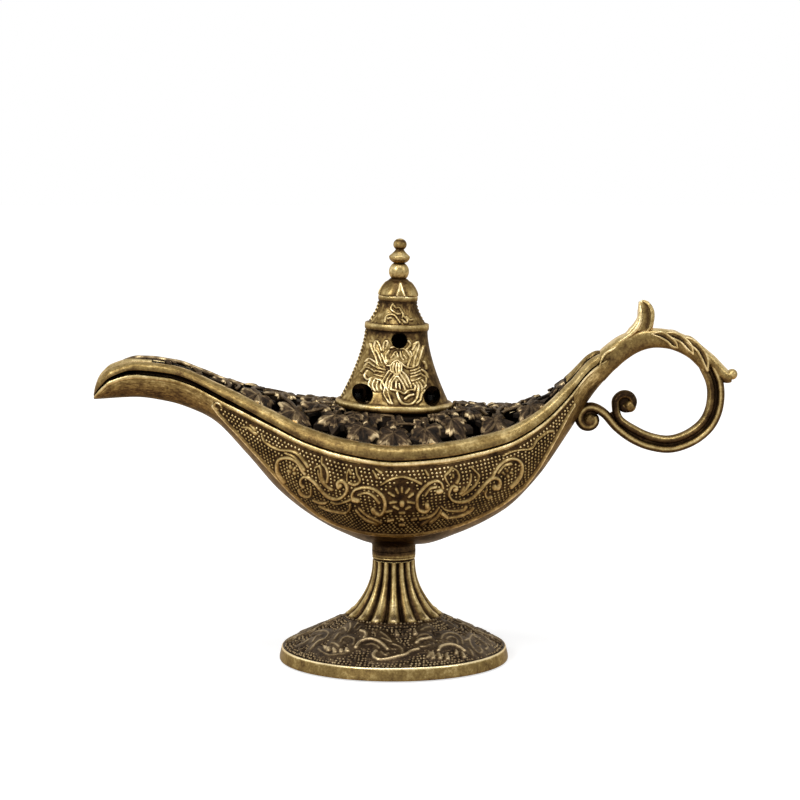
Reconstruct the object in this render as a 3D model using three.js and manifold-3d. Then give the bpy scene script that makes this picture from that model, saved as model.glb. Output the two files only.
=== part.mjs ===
// A genie lamp incense burner: a cast boat-shaped bowl with a ring handle, on a fluted foot,
// under a lift-off openwork lid that carries a bell-shaped chimney.
// Millimetres, +Z up, the spout along -X. The table is z = 0.
import * as THREE from "three";
import { mergeVertices } from "three/addons/utils/BufferGeometryUtils.js";
import Module from "manifold-3d";

const wasm = await Module();
wasm.setup();

const DEGREE = Math.PI / 180;

// Driving dimensions: clearances
const seatGap = 0.3; // between pieces that rest on each other
const boltGap = 0.3; // round a screw or stud in its hole

// Driving dimensions: foot
const footRadius = 29.6;
const footRimHeight = 3.1;
const footRimDraft = 0.5; // how much narrower the rim is at its top
const footRimLand = 3; // width of the ring that stands on the table
const footShoulderRadius = 13.4; // where the cone turns into the stem
const footShoulderHeight = 10.2;
const footWall = 2.2;
const stemRadius = 5.5;
const stemHeight = 25.6;
const stemWeb = 6.3; // solid top of the stem, under the collar
const stemFlare = 2.2; // exponent of the stem's sweep
const fluteCount = 16;
const fluteDepth = 0.75;

// Driving dimensions: neck and its screw
const collarRadius = 5.7;
const collarHeight = 2.6;
const bossRadius = 5;
const bossDrop = 1.2; // below the keel
const padRadius = 5.4; // inside the bowl, over the boss
const padHeight = 6.6; // above the keel
const footScrewRadius = 2;
const footScrewBite = 5.4; // thread inside the boss
const footScrewHeadRadius = 3.5;
const footScrewHeadHeight = 2.4;
const washerRadius = 4;
const washerThickness = 0.8;

// Driving dimensions: bowl
const spoutReach = 76.9; // from the foot's axis to the spout's tip
const tailReach = 55; // from the foot's axis to the handle's root
const halfBeam = 27;
const spoutHalfWidth = 5.3;
const tailHalfWidth = 4.6;
const spoutSwell = 57.7; // length over which the beam swells from the spout
const tailSwell = 56;
const swellPower = 1.6;
const bowlDepth = 25.4; // from keel to seam, amidships
const spoutSeamRise = 19.4; // of the seam, from amidships to the spout
const tailSeamRise = 23.6;
const spoutKeelRise = 38.4;
const tailKeelRise = 44;
const bowlWall = 2;
const beadProud = 0.5;
const beadHeight = 1.3;
const noseLength = 4.5; // rounding of the spout's tip in plan

// Driving dimensions: lid
const lidWall = 1.6;
const bandHeight = 3.3;
const domeRise = 11; // seam to crest, amidships
const vaultPower = 3.5; // exponent of the lid's section, flat on top and steep at the border
const spoutRise = 3.4; // seam to crest, on the spout
const tailRise = 2.4; // seam to crest, at the handle
const spoutFall = 1.6; // exponent of the crest's fall towards the spout
const lipDepth = 1.8; // rails that drop inside the bowl
const lipThickness = 0.8;
const lipClearance = 0.4;
const lidTipLength = 3; // rounding of the lid's tip at the handle
const lidTipGap = 0.6; // from the lid's tip to the handle's root
const openworkLedge = 0.4;
const leafSize = 5.8; // from a leaf's heart to its tip
const leafPitch = 8;
const vineWidth = 1.1;

// Driving dimensions: chimney, with heights above its own flange
const chimneyLean = 2.2 * DEGREE; // towards the handle, with the lid's sheer
const chimneyTurn = 6 * DEGREE;
const chimneyWall = 1.5;
const flangeRadius = 15.1;
const flangeThickness = 1.9;
const bellFootRadius = 14;
const bellTopRadius = 7.95;
const bellTop = 19.5;
const bellFlare = 1.5; // exponent of the bell's sweep
const beltRadius = 8.25;
const beltHeight = 2.3;
const hoodFootRadius = 7.3;
const hoodTopRadius = 4.9;
const hoodHeight = 5;
const crownBandRadius = 5.3;
const crownBandHeight = 2.1;
const crownHeight = 4.1;
const crownTopRadius = 2.2;
const crownFlare = 1.6; // exponent of the crown's dome
const upperVentRadius = 2;
const upperVentDrop = 1.9; // below the belt
const lowerVentRadius = 2.45;
const lowerVentHeight = 4.5;
const lowerVentOffset = 8.7; // to each side of the front panel's middle
const seatRingRadius = 16.3;
const seatBoreRadius = 6.8;
const seatThickness = 1.6;
const seatSkirt = 4.8;
const chimneyBossRadius = 2.4;
const chimneyBossOffset = 9.6;
const chimneyBossHeight = 6;
const chimneyScrewRadius = 1.2;
const chimneyScrewHeadRadius = 2.2;
const chimneyScrewHeadHeight = 1.4;
const chimneyScrewLength = 6;
const seatSink = 0.9; // the chimney's flange below the crest amidships

// Driving dimensions: finial
const lowerBeadRadius = 2.6;
const discRadius = 2.75;
const discHeight = 3;
const topBeadRadius = 1.75;
const beadNeckRadius = 1.2;
const studRadius = 1.5;
const nutAcrossFlats = 5.5;
const nutHeight = 2.4;
const studOverNut = 0.8;

// Driving dimensions: cone dish
const dishRadius = 13;
const dishHeight = 4;
const dishWall = 1.1;

// Driving dimensions: handle
const handleReach = 32.3; // from its root on the tail to the curled tip
const rootLift = 1.2; // of the root over the middle of the tail's end

// The handle's other sizes go with its reach
const armHalfThickness = 0.082 * handleReach;
const armHalfWidth = 0.087 * handleReach;
const ridgeHalfThickness = 0.038 * handleReach;
const ridgeHalfWidth = 0.059 * handleReach;
const ridgeSpread = 0.034 * handleReach; // from the ring's line to each ridge
const innerVoluteRadius = 0.086 * handleReach;
const outerVoluteRadius = 0.066 * handleReach;

// The lid's smooth border covers the bowl's wall and the rail inside it
const bandWidth = beadProud + bowlWall + lipClearance + lipThickness;

// Levels above the table
const collarLevel = stemHeight;
const bossLevel = collarLevel + collarHeight;
const keelLevel = bossLevel + bossDrop;
const seamLevel = keelLevel + bowlDepth;
const seatLevel = seamLevel + domeRise - seatSink;

// Facet counts
const roundSides = 26;
const boltSides = 12;
const beadSides = 18;
const fluteSides = 3;
const barSides = 8;
const ridgeSides = 6;
const hullSides = 14;
const hollowSides = 12;
const bandSides = 3;
const vaultSides = 3;
const ventSides = 16;

// Booleans

function solidOf(geometry) {
  const bare = geometry.clone();
  bare.deleteAttribute("normal");
  bare.deleteAttribute("uv");
  const merged = mergeVertices(bare, 1e-4);
  return new wasm.Manifold(
    new wasm.Mesh({
      numProp: 3,
      vertProperties: merged.attributes.position.array,
      triVerts: new Uint32Array(merged.index.array),
    }),
  );
}

function geometryOf(solid) {
  const mesh = solid.getMesh();
  const geometry = new THREE.BufferGeometry();
  geometry.setAttribute("position", new THREE.BufferAttribute(mesh.vertProperties, 3));
  geometry.setIndex(new THREE.BufferAttribute(mesh.triVerts, 1));
  geometry.computeVertexNormals();
  return geometry;
}

function joined(solids) {
  return solids.reduce((sum, next) => sum.add(next));
}

// Shapes

// A smooth curve through [x, value] points that never overshoots them
function curveThrough(points) {
  const slopes = points.slice(1).map(([x, y], i) => (y - points[i][1]) / (x - points[i][0]));
  const tangents = points.map((_, i) => {
    if (i === 0) return slopes[0];
    if (i === slopes.length) return slopes[i - 1];
    const [before, after] = [slopes[i - 1], slopes[i]];
    return before * after <= 0 ? 0 : (2 * before * after) / (before + after);
  });
  return (x) => {
    const last = points.length - 2;
    const found = points.findIndex(([end]) => x < end) - 1;
    const i = found < -1 ? last : Math.min(Math.max(found, 0), last);
    const span = points[i + 1][0] - points[i][0];
    const t = (x - points[i][0]) / span;
    const rise = t * t * (3 - 2 * t);
    return (
      points[i][1] * (1 - rise) +
      points[i + 1][1] * rise +
      span * (tangents[i] * t * (1 - t) ** 2 - tangents[i + 1] * t * t * (1 - t))
    );
  };
}

// A closed solid through loops of equally many points, with a fan over each end
function loft(loops) {
  const count = loops[0].length;
  const ends = [loops[0], loops.at(-1)];
  const middles = ends.map((loop) =>
    loop.reduce((sum, p) => sum.add(p), new THREE.Vector3()).divideScalar(count),
  );
  const points = [...loops.flat(), ...middles];
  const triangles = [];
  for (let k = 0; k < count; k++) {
    const next = (k + 1) % count;
    const top = (loops.length - 1) * count;
    triangles.push([points.length - 2, next, k], [points.length - 1, top + k, top + next]);
    for (let i = 0; i + 1 < loops.length; i++) {
      const [a, b] = [i * count + k, i * count + next];
      triangles.push([a, b, a + count], [b, b + count, a + count]);
    }
  }
  const volume = triangles.reduce(
    (sum, [a, b, c]) => sum + points[a].dot(points[b].clone().cross(points[c])),
    0,
  );
  if (volume < 0) triangles.forEach((t) => t.reverse());
  const geometry = new THREE.BufferGeometry().setFromPoints(points);
  return solidOf(geometry.setIndex(triangles.flat()));
}

// A tapering bar in the XZ plane through [x, z, half thickness, half width] stations
function bar(stations, steps, sides) {
  const line = new THREE.CatmullRomCurve3(stations.map(([x, z]) => new THREE.Vector3(x, 0, z)));
  const size = new THREE.CatmullRomCurve3(stations.map(([, , t, w]) => new THREE.Vector3(t, w, 0)));
  const across = new THREE.Vector3(0, 1, 0);
  const loops = [];
  for (let i = 0; i <= steps; i++) {
    const centre = line.getPoint(i / steps);
    const { x: thickness, y: width } = size.getPoint(i / steps);
    const out = line.getTangent(i / steps).cross(across);
    loops.push(
      ring(sides, (cos, sin) =>
        centre.clone().addScaledVector(out, thickness * cos).addScaledVector(across, width * sin),
      ),
    );
  }
  return loft(loops);
}

function ring(sides, place) {
  return Array.from({ length: sides }, (_, k) => {
    const angle = (2 * Math.PI * k) / sides;
    return place(Math.cos(angle), Math.sin(angle), angle);
  });
}

// A solid of revolution about Z from a closed [radius, height] profile
function turned(profile, sides = roundSides) {
  const loop = [...profile, profile[0]].map(([r, z]) => new THREE.Vector2(r, z));
  const area = loop.slice(1).reduce((sum, p, i) => sum + loop[i].cross(p), 0);
  if (area < 0) loop.reverse();
  return solidOf(new THREE.LatheGeometry(loop, sides).rotateX(Math.PI / 2));
}

function rod(radius, bottom, top, sides = boltSides) {
  return solidOf(
    new THREE.CylinderGeometry(radius, radius, top - bottom, sides)
      .rotateX(Math.PI / 2)
      .translate(0, 0, (bottom + top) / 2),
  );
}

function screw(radius, length, headRadius, headHeight) {
  return turned(
    [
      [0, -headHeight],
      [headRadius * 0.7, -headHeight],
      [headRadius, -headHeight * 0.5],
      [headRadius, 0],
      [radius, 0],
      [radius, length],
      [0, length],
    ],
    boltSides,
  );
}

// Lines of the hull, as heights above the keel amidships

const seamShare = curveThrough([
  [-1, 0.68],
  [-0.975, 0.8],
  [-0.94, 0.92],
  [-0.86, 1],
  [-0.74, 0.955],
  [-0.54, 0.64],
  [-0.4, 0.4],
  [-0.27, 0.19],
  [-0.14, 0.065],
  [0, 0],
  [0.2, 0.02],
  [0.39, 0.075],
  [0.53, 0.145],
  [0.625, 0.245],
  [0.72, 0.395],
  [0.815, 0.61],
  [0.907, 0.86],
  [1, 1],
]);
const keelShare = curveThrough([
  [-1, 0.985],
  [-0.86, 1],
  [-0.753, 0.971],
  [-0.646, 0.898],
  [-0.594, 0.838],
  [-0.488, 0.615],
  [-0.381, 0.37],
  [-0.274, 0.2],
  [-0.168, 0.083],
  [-0.065, 0.01],
  [0, 0],
  [0.127, 0.005],
  [0.293, 0.068],
  [0.516, 0.211],
  [0.665, 0.395],
  [0.815, 0.666],
  [0.925, 0.884],
  [1, 1],
]);

function shareAlong(x) {
  return x < 0 ? x / spoutReach : x / tailReach;
}

function seam(x) {
  return bowlDepth + (x < 0 ? spoutSeamRise : tailSeamRise) * seamShare(shareAlong(x));
}

function keel(x) {
  return (x < 0 ? spoutKeelRise : tailKeelRise) * keelShare(shareAlong(x));
}

// Rounds off a tip: 1 well inside it and 0 at its end
function tip(distance, length) {
  return distance >= length ? 1 : Math.sqrt(1 - (1 - Math.max(distance, 0) / length) ** 2);
}

function beam(x) {
  const end = x < 0 ? spoutHalfWidth : tailHalfWidth;
  const swell = Math.min(1, Math.abs(x) / (x < 0 ? spoutSwell : tailSwell));
  const bulge = Math.cos((Math.PI / 2) * swell) ** swellPower;
  return (end + (halfBeam - end) * bulge) * Math.max(0.2, tip(x + spoutReach, noseLength));
}

function dome(x) {
  const [narrow, low, fall] = x < 0 ? [spoutHalfWidth, spoutRise, spoutFall] : [tailHalfWidth, tailRise, 1];
  const bulge = Math.max(0, beam(x) - narrow) / (halfBeam - narrow);
  return low + (domeRise - low) * bulge ** fall;
}

// Stations along the hull, closer together at the spout's tip and where the lines bend
function stations(from, to, finer = 1) {
  const shares = [
    -1, -0.985, -0.96, -0.92, -0.84, -0.74, -0.65, -0.57, -0.49, -0.4, -0.3, -0.2, -0.1, 0, 0.14, 0.28, 0.41,
    0.53, 0.63, 0.72, 0.8, 0.88, 0.94, 1,
  ];
  const knots = shares.map((s) => s * (s < 0 ? spoutReach : tailReach));
  const all = knots.flatMap((x, i) =>
    Array.from({ length: finer }, (_, k) => x + ((knots[i + 1] - x) * k) / finer),
  );
  const margin = 0.6;
  return [from, ...all.filter((x) => x > from + margin && x < to - margin), to];
}

// A rounded V from port to starboard, whose ends are on the seam
function hullSection(x, half, bottom, top, topOver, sides) {
  const roundness = 1 + 0.33 * Math.cos((Math.PI / 2) * Math.min(1, Math.abs(shareAlong(x)) / 0.7));
  const loop = [];
  for (let k = 0; k <= sides; k++) {
    const angle = (k / sides - 0.5) * Math.PI;
    const side = Math.sign(angle) * Math.abs(Math.sin(angle)) ** roundness;
    loop.push(new THREE.Vector3(x, half * side, top - (top - bottom) * Math.cos(angle)));
  }
  if (topOver > 0) {
    loop.push(new THREE.Vector3(x, half, top + topOver), new THREE.Vector3(x, -half, top + topOver));
  }
  return loop;
}

// Foot

function stemLine(z) {
  const share = (z - footShoulderHeight) / (stemHeight - footShoulderHeight);
  return stemRadius + (footShoulderRadius - stemRadius) * (1 - share) ** stemFlare;
}

function footSolid() {
  const sides = fluteCount * fluteSides;
  const rimTop = footRadius - footRimDraft;
  const plain = [
    [footRadius, 0],
    [footRadius, footRimHeight * 0.2],
    [rimTop, footRimHeight],
    [rimTop - 0.7, footRimHeight + 0.2],
    [footShoulderRadius, footShoulderHeight],
  ];
  const loops = plain.map(([r, z]) => ring(sides, (cos, sin) => new THREE.Vector3(r * cos, r * sin, z)));
  for (const share of [0.07, 0.15, 0.27, 0.43, 0.65, 0.945, 0.955, 1]) {
    const z = footShoulderHeight + share * (stemHeight - footShoulderHeight);
    const depth = share > 0.08 && share < 0.952 ? fluteDepth * Math.sqrt(stemLine(z) / stemRadius) : 0;
    loops.push(
      ring(sides, (cos, sin, angle) => {
        const groove = 1 - Math.sqrt(Math.abs(Math.cos((angle * fluteCount) / 2)));
        const r = stemLine(z) - depth * groove;
        return new THREE.Vector3(r * cos, r * sin, z);
      }),
    );
  }
  return loft(loops).subtract(footHollow()).subtract(rod(footScrewRadius + boltGap, 0, stemHeight + 1));
}

function footHollow() {
  const webLevel = stemHeight - stemWeb;
  const coneSlope = (footShoulderHeight - footRimHeight) / (footRadius - footShoulderRadius);
  const sink = footWall * Math.hypot(1, coneSlope);
  const mouth = footRadius - footRimLand;
  const mouthTop = footRimHeight + coneSlope * footRimLand - sink;
  const profile = [
    [0, -1],
    [mouth, -1],
    [mouth, mouthTop],
    [footShoulderRadius - footWall / 2, footShoulderHeight - sink],
  ];
  for (const share of [0.3, 0.65, 1]) {
    const z = footShoulderHeight + share * (webLevel - footShoulderHeight);
    profile.push([stemLine(z) - footWall, z]);
  }
  return turned([...profile, [0, webLevel]]);
}

function collarSolid() {
  const bore = footScrewRadius + boltGap;
  const inset = 0.5;
  return turned([
    [bore, 0],
    [collarRadius - inset, 0],
    [collarRadius, collarHeight * 0.3],
    [collarRadius, collarHeight * 0.7],
    [collarRadius - inset, collarHeight],
    [bore, collarHeight],
  ]);
}

function washerSolid() {
  const bore = footScrewRadius + boltGap;
  return turned(
    [
      [bore, 0],
      [washerRadius, 0],
      [washerRadius, washerThickness],
      [bore, washerThickness],
    ],
    boltSides * 2,
  );
}

// Bowl

// Height of the bead along the rim, which thins out with the spout's tip
function beadAt(x) {
  return Math.min(beadHeight, (seam(x) - keel(x)) * 0.4);
}

function bowlSolid() {
  const hull = loft(
    stations(-spoutReach, tailReach, 2).map((x) =>
      hullSection(x, beam(x) - beadProud, keel(x), seam(x) - beadAt(x) / 2, 0, hullSides),
    ),
  );
  const bead = loft(
    stations(-spoutReach, tailReach).map((x) => {
      const height = beadAt(x);
      const tuck = beam(x) - beadProud - 0.4;
      return [
        [-tuck, -height - beadProud],
        [-beam(x), -height],
        [-beam(x), 0],
        [beam(x), 0],
        [beam(x), -height],
        [tuck, -height - beadProud],
      ].map(([y, z]) => new THREE.Vector3(x, y, seam(x) + z));
    }),
  );
  const boss = rod(bossRadius, -bossDrop, padHeight, roundSides);
  const pad = rod(padRadius, bowlWall, padHeight, roundSides);
  const thread = rod(footScrewRadius + boltGap, -bossDrop - 1, footScrewBite - bossDrop + boltGap);
  return hull.add(bead).subtract(bowlHollow()).add(boss).add(pad).subtract(thread);
}

function bowlHollow() {
  const [from, to] = [-0.9 * spoutReach, 0.8 * tailReach];
  const openOver = 2;
  const probe = 0.5;
  return loft(
    stations(from, to).map((x) => {
      const slope = (keel(x + probe) - keel(x - probe)) / (2 * probe);
      const floor = keel(x) + bowlWall * Math.hypot(1, slope);
      const taper = Math.min(tip(x - from, noseLength), tip(to - x, noseLength)) * 0.5 + 0.5;
      const half = (beam(x) - beadProud - bowlWall) * taper;
      return hullSection(x, half, floor, seam(x), openOver, hollowSides);
    }),
  );
}

// Lid

const lidFrom = -spoutReach;
const lidTo = tailReach - lidTipGap;

// Height of the lid's outside over the seam, from port to starboard
function lidSection(x) {
  const rounding = Math.max(0.15, Math.min(tip(x - lidFrom, noseLength / 2), tip(lidTo - x, lidTipLength)));
  const half = beam(x) * (x > 0 ? rounding : 1);
  const band = Math.min(bandWidth, half * 0.55);
  const flank = half - band;
  const rise = dome(x) * rounding;
  const shoulder = Math.min(bandHeight * rounding, rise * 0.8);
  const side = [];
  for (let k = 0; k <= bandSides; k++) {
    const angle = (k / bandSides) * (Math.PI / 2);
    side.push([flank + band * Math.cos(angle), shoulder * Math.sin(angle)]);
  }
  for (let k = 1; k <= vaultSides; k++) {
    const y = flank * (1 - (k / vaultSides) ** 1.5);
    side.push([y, shoulder + (rise - shoulder) * (1 - (y / flank) ** vaultPower)]);
  }
  const mirrored = side.slice(0, -1).map(([y, z]) => [-y, z]);
  return [...mirrored, ...side.reverse()].map(([y, z]) => new THREE.Vector3(x, y, seam(x) + z));
}

// Half width of the openwork and of the space under it
function openworkHalf(x) {
  return Math.max(0.6, beam(x) - bandWidth);
}

function lidHollow() {
  const [from, to] = [-0.82 * spoutReach, 0.86 * tailReach];
  return loft(
    stations(from, to).map((x) => {
      const half = openworkHalf(x);
      const shoulder = seam(x) + bandHeight - lidWall;
      const rise = dome(x) - bandHeight;
      const loop = [];
      for (let k = 0; k <= 2 * vaultSides; k++) {
        const share = k / vaultSides - 1;
        const vault = 1 - Math.abs(share) ** vaultPower;
        loop.push(new THREE.Vector3(x, half * share, shoulder + rise * vault));
      }
      const below = seam(x) - lipDepth - 1;
      return [...loop, new THREE.Vector3(x, half, below), new THREE.Vector3(x, -half, below)];
    }),
  );
}

// Rails under the border that keep the lid from sliding off the bowl
function lidLip() {
  const [from, to] = [-0.55 * spoutReach, 0.66 * tailReach];
  return loft(
    stations(from, to).map((x) => {
      const half = openworkHalf(x) + lipThickness;
      return [
        [-half, -lipDepth],
        [half, -lipDepth],
        [half, 1],
        [-half, 1],
      ].map(([y, z]) => new THREE.Vector3(x, y, seam(x) + z));
    }),
  );
}

function leafShape(size) {
  const lobes = [
    [0, 1],
    [32, 0.52],
    [62, 0.93],
    [96, 0.5],
    [128, 0.8],
    [180, 0.36],
  ];
  const side = lobes.map(([degrees, share]) => [degrees * DEGREE, share * size]);
  const other = side.slice(1, -1).reverse().map(([angle, r]) => [-angle, r]);
  const outline = [...side, ...other];
  return new THREE.Shape(outline.map(([a, r]) => new THREE.Vector2(r * Math.cos(a), r * Math.sin(a))));
}

function prism(shape, bottom, top) {
  const settings = { depth: top - bottom, bevelEnabled: false, curveSegments: 6 };
  const geometry = new THREE.ExtrudeGeometry(shape, settings);
  return solidOf(geometry.translate(0, 0, bottom));
}

// Leaves in a ring round the chimney and on arcs beyond it, as many as fit between the borders
function leafPlaces() {
  const first = seatRingRadius + 0.55 * leafPitch;
  const places = [];
  const place = (r, angle, k) => {
    const [x, y] = [r * Math.cos(angle), r * Math.sin(angle)];
    const size = Math.min(leafSize, Math.max(1.6, openworkHalf(x) * 0.95));
    places.push({ x, y, size, turn: angle + (k % 2 ? 40 : -25) * DEGREE });
  };
  const ringCount = 4 * Math.round((Math.PI * first) / (2 * leafPitch));
  for (let k = 0; k < ringCount; k++) {
    place(first, (2 * Math.PI * k) / ringCount, k);
  }
  for (const [way, end] of [
    [Math.PI, 0.84 * spoutReach],
    [0, 0.9 * tailReach],
  ]) {
    for (let r = first + leafPitch * 0.92; r < end; r += leafPitch * 0.92) {
      const spread = arcSpread(way, r);
      const count = Math.max(1, Math.round((2 * spread * r) / leafPitch));
      for (let k = 0; k < count; k++) {
        place(r, way + (count === 1 ? 0 : spread * ((2 * k) / (count - 1) - 1)), k);
      }
    }
  }
  return places;
}

// Half angle of the arc of a radius that lies inside the border
function arcSpread(way, r) {
  const inset = leafSize * 0.55;
  let spread = 0;
  while (r * Math.sin(spread) < openworkHalf(r * Math.cos(way + spread)) - inset) {
    spread += DEGREE;
  }
  return spread;
}

// Vine stems: arcs under the leaves that run from border to border
function vines(bottom, top) {
  const arcs = [];
  for (const [way, end] of [
    [Math.PI, 0.8 * spoutReach],
    [0, 0.86 * tailReach],
  ]) {
    for (let r = seatRingRadius + 1.47 * leafPitch; r < end; r += leafPitch * 0.92) {
      const spread = arcSpread(way, r) + (leafSize * 0.9) / r;
      const shape = new THREE.Shape();
      shape.absarc(0, 0, r + vineWidth / 2, way - spread, way + spread, false);
      shape.absarc(0, 0, r - vineWidth / 2, way + spread, way - spread, true);
      arcs.push(prism(shape, bottom, top));
    }
  }
  const spine = new THREE.BoxGeometry(0.84 * spoutReach + 0.88 * tailReach, vineWidth, top - bottom);
  spine.translate((0.88 * tailReach - 0.84 * spoutReach) / 2, 0, (top + bottom) / 2);
  return [...arcs, solidOf(spine)];
}

function openwork() {
  const [bottom, top] = [bowlDepth - 10, bowlDepth + 60];
  const [from, to] = [-0.8 * spoutReach, 0.84 * tailReach];
  const edge = stations(from, to).map((x) => new THREE.Vector2(x, openworkHalf(x) - openworkLedge));
  const mirrored = edge.map((p) => new THREE.Vector2(p.x, -p.y)).reverse();
  const leaves = leafPlaces().map(({ x, y, size, turn }) =>
    prism(leafShape(size), bottom, top).rotate([0, 0, turn / DEGREE]).translate([x, y, 0]),
  );
  const kept = joined([...leaves, ...vines(bottom, top), rod(seatRingRadius, bottom, top, roundSides)]);
  return prism(new THREE.Shape([...edge, ...mirrored]), bottom + 1, top - 1).subtract(kept);
}

// Puts a solid made in the chimney's own frame on its leaning seat
function leaning(solid) {
  return solid.rotate([0, chimneyLean / DEGREE, 0]).translate([0, 0, seatLevel - keelLevel]);
}

function seatRing() {
  const plateTop = -seatGap;
  const ringSolid = turned([
    [seatBoreRadius, plateTop - seatThickness],
    [seatBoreRadius, plateTop],
    [seatRingRadius, plateTop],
    [seatRingRadius, plateTop - seatSkirt],
    [seatRingRadius - lidWall, plateTop - seatSkirt],
    [seatRingRadius - lidWall, plateTop - seatThickness],
  ]);
  const holes = chimneyBossPlaces().map((p) =>
    rod(chimneyScrewRadius + boltGap, plateTop - seatThickness - 1, plateTop + 1).translate([p.x, p.y, 0]),
  );
  return ringSolid.subtract(joined(holes));
}

function lidSolid() {
  const outside = loft(stations(lidFrom, lidTo).map(lidSection));
  const pocket = leaning(rod(seatRingRadius, -seatSkirt, domeRise, roundSides));
  return outside
    .add(lidLip())
    .subtract(lidHollow())
    .subtract(openwork())
    .subtract(pocket)
    .add(leaning(seatRing().rotate([0, 0, chimneyTurn / DEGREE])))
    .translate([0, 0, seatGap]);
}

// Chimney

function chimneyBossPlaces() {
  return [-1, 1].map((way) => new THREE.Vector2(way * chimneyBossOffset, 0));
}

const beltBottom = bellTop;
const hoodBottom = beltBottom + beltHeight;
const crownBandBottom = hoodBottom + hoodHeight;
const crownBottom = crownBandBottom + crownBandHeight;
const crownTop = crownBottom + crownHeight;
const ceiling = crownBandBottom + 0.6;

function bellLine(z) {
  const share = (z - flangeThickness) / (bellTop - flangeThickness);
  return bellTopRadius + (bellFootRadius - bellTopRadius) * (1 - share) ** bellFlare;
}

function hoodLine(z) {
  const share = (z - hoodBottom) / hoodHeight;
  return hoodTopRadius + (hoodFootRadius - hoodTopRadius) * (1 - share) ** bellFlare;
}

function chimneySolid() {
  const bellLevels = [0, 0.15, 0.33, 0.55, 0.8, 1].map(
    (share) => flangeThickness + share * (bellTop - flangeThickness),
  );
  const hoodLevels = [0, 0.4, 1].map((share) => hoodBottom + share * hoodHeight);
  const outside = [
    [flangeRadius, 0],
    [flangeRadius, flangeThickness * 0.6],
    [flangeRadius - 0.5, flangeThickness],
    ...bellLevels.map((z) => [bellLine(z), z]),
    [beltRadius, beltBottom + beltHeight * 0.25],
    [beltRadius, beltBottom + beltHeight * 0.75],
    ...hoodLevels.map((z) => [hoodLine(z), z]),
    [crownBandRadius, crownBandBottom + crownBandHeight * 0.25],
    [crownBandRadius, crownBandBottom + crownBandHeight * 0.8],
    ...[0, 0.45, 0.8, 1].map((share) => [
      crownTopRadius + (crownBandRadius - 0.4 - crownTopRadius) * (1 - share ** crownFlare),
      crownBottom + share * crownHeight,
    ]),
  ];
  const boltHole = studRadius + boltGap;
  const inside = [
    [boltHole, crownTop],
    [boltHole, ceiling],
    [hoodTopRadius - chimneyWall, ceiling],
    ...hoodLevels
      .slice(0, -1)
      .reverse()
      .map((z) => [hoodLine(z) - chimneyWall, z]),
    ...[1, 0.55, 0.25, 0].map((share) => {
      const z = flangeThickness + share * (bellTop - flangeThickness);
      return [bellLine(z) - chimneyWall, z];
    }),
    [bellFootRadius - chimneyWall, 0],
  ];
  const bosses = chimneyBossPlaces().map((p) =>
    rod(chimneyBossRadius, 0, chimneyBossHeight).translate([p.x, p.y, 0]),
  );
  const threads = chimneyBossPlaces().map((p) =>
    rod(chimneyScrewRadius + boltGap, -1, chimneyScrewLength - seatThickness).translate([p.x, p.y, 0]),
  );
  return turned([...outside, ...inside])
    .add(joined(bosses))
    .subtract(joined(threads))
    .subtract(joined(vents()));
}

// One vent under the belt and two over the flange, all straight through the front panel
function vents() {
  const places = [
    [0, upperVentRadius, beltBottom - upperVentDrop],
    [-lowerVentOffset, lowerVentRadius, lowerVentHeight],
    [lowerVentOffset, lowerVentRadius, lowerVentHeight],
  ];
  return places.map(([x, radius, z]) =>
    rod(radius, 0, flangeRadius + 1, ventSides).rotate([90, 0, 0]).translate([x, 0, z]),
  );
}

// Finial: a bead, a disc and a bead on a threaded stud

function finialSolid() {
  const base = crownTop + seatGap;
  const beadTop = base + 2 * lowerBeadRadius * 0.78;
  const discTop = beadTop + discHeight;
  const studEnd = ceiling - seatGap - nutHeight - studOverNut;
  const lowerBead = [-50, -20, 10, 40, 62].map((degrees) => [
    lowerBeadRadius * Math.cos(degrees * DEGREE),
    base + lowerBeadRadius * (0.77 + Math.sin(degrees * DEGREE)),
  ]);
  const topBead = [-45, -15, 20, 50].map((degrees) => [
    topBeadRadius * Math.cos(degrees * DEGREE),
    discTop + topBeadRadius * (0.71 + Math.sin(degrees * DEGREE)),
  ]);
  return turned(
    [
      [0, studEnd],
      [studRadius, studEnd],
      [studRadius, base],
      ...lowerBead,
      [beadNeckRadius, beadTop],
      [discRadius * 0.8, beadTop + discHeight * 0.22],
      [discRadius, beadTop + discHeight * 0.45],
      [discRadius * 0.86, beadTop + discHeight * 0.58],
      [beadNeckRadius, discTop],
      ...topBead,
      [0, discTop + topBeadRadius * 1.71],
    ],
    beadSides,
  );
}

function nutSolid() {
  const hexagon = new THREE.Shape(
    ring(6, (cos, sin) => new THREE.Vector2(cos, sin).multiplyScalar(nutAcrossFlats / Math.sqrt(3))),
  );
  return prism(hexagon, 0, nutHeight).subtract(rod(studRadius + boltGap, -1, nutHeight + 1));
}

// Cone dish: a shallow dish that stands on the pad inside the bowl

function dishSolid() {
  const floorRadius = dishRadius * 0.72;
  return turned([
    [0, 0],
    [floorRadius, 0],
    [dishRadius, dishHeight],
    [dishRadius - dishWall, dishHeight],
    [floorRadius - dishWall * 0.4, dishWall],
    [0, dishWall],
  ]);
}

// Handle: an arm that rises from the tail and splits into two ridges round the ring.
// Its stations are shares of the handle's reach, from the middle of its root.

const rootMiddle = (keel(tailReach) + seam(tailReach)) / 2 + rootLift;

const armLine = [
  [-0.074, -0.074],
  [0, 0],
  [0.124, 0.099],
  [0.248, 0.158],
  [0.372, 0.18],
  [0.52, 0.16],
  [0.67, 0.085],
  [0.785, -0.03],
];

// The ring's line from under the curled tip round to the volutes
const ringLine = [
  [0.772, -0.006],
  [0.838, -0.155],
  [0.856, -0.288],
  [0.83, -0.421],
  [0.764, -0.531],
  [0.643, -0.618],
  [0.495, -0.662],
  [0.35, -0.638],
  [0.223, -0.575],
];

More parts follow.
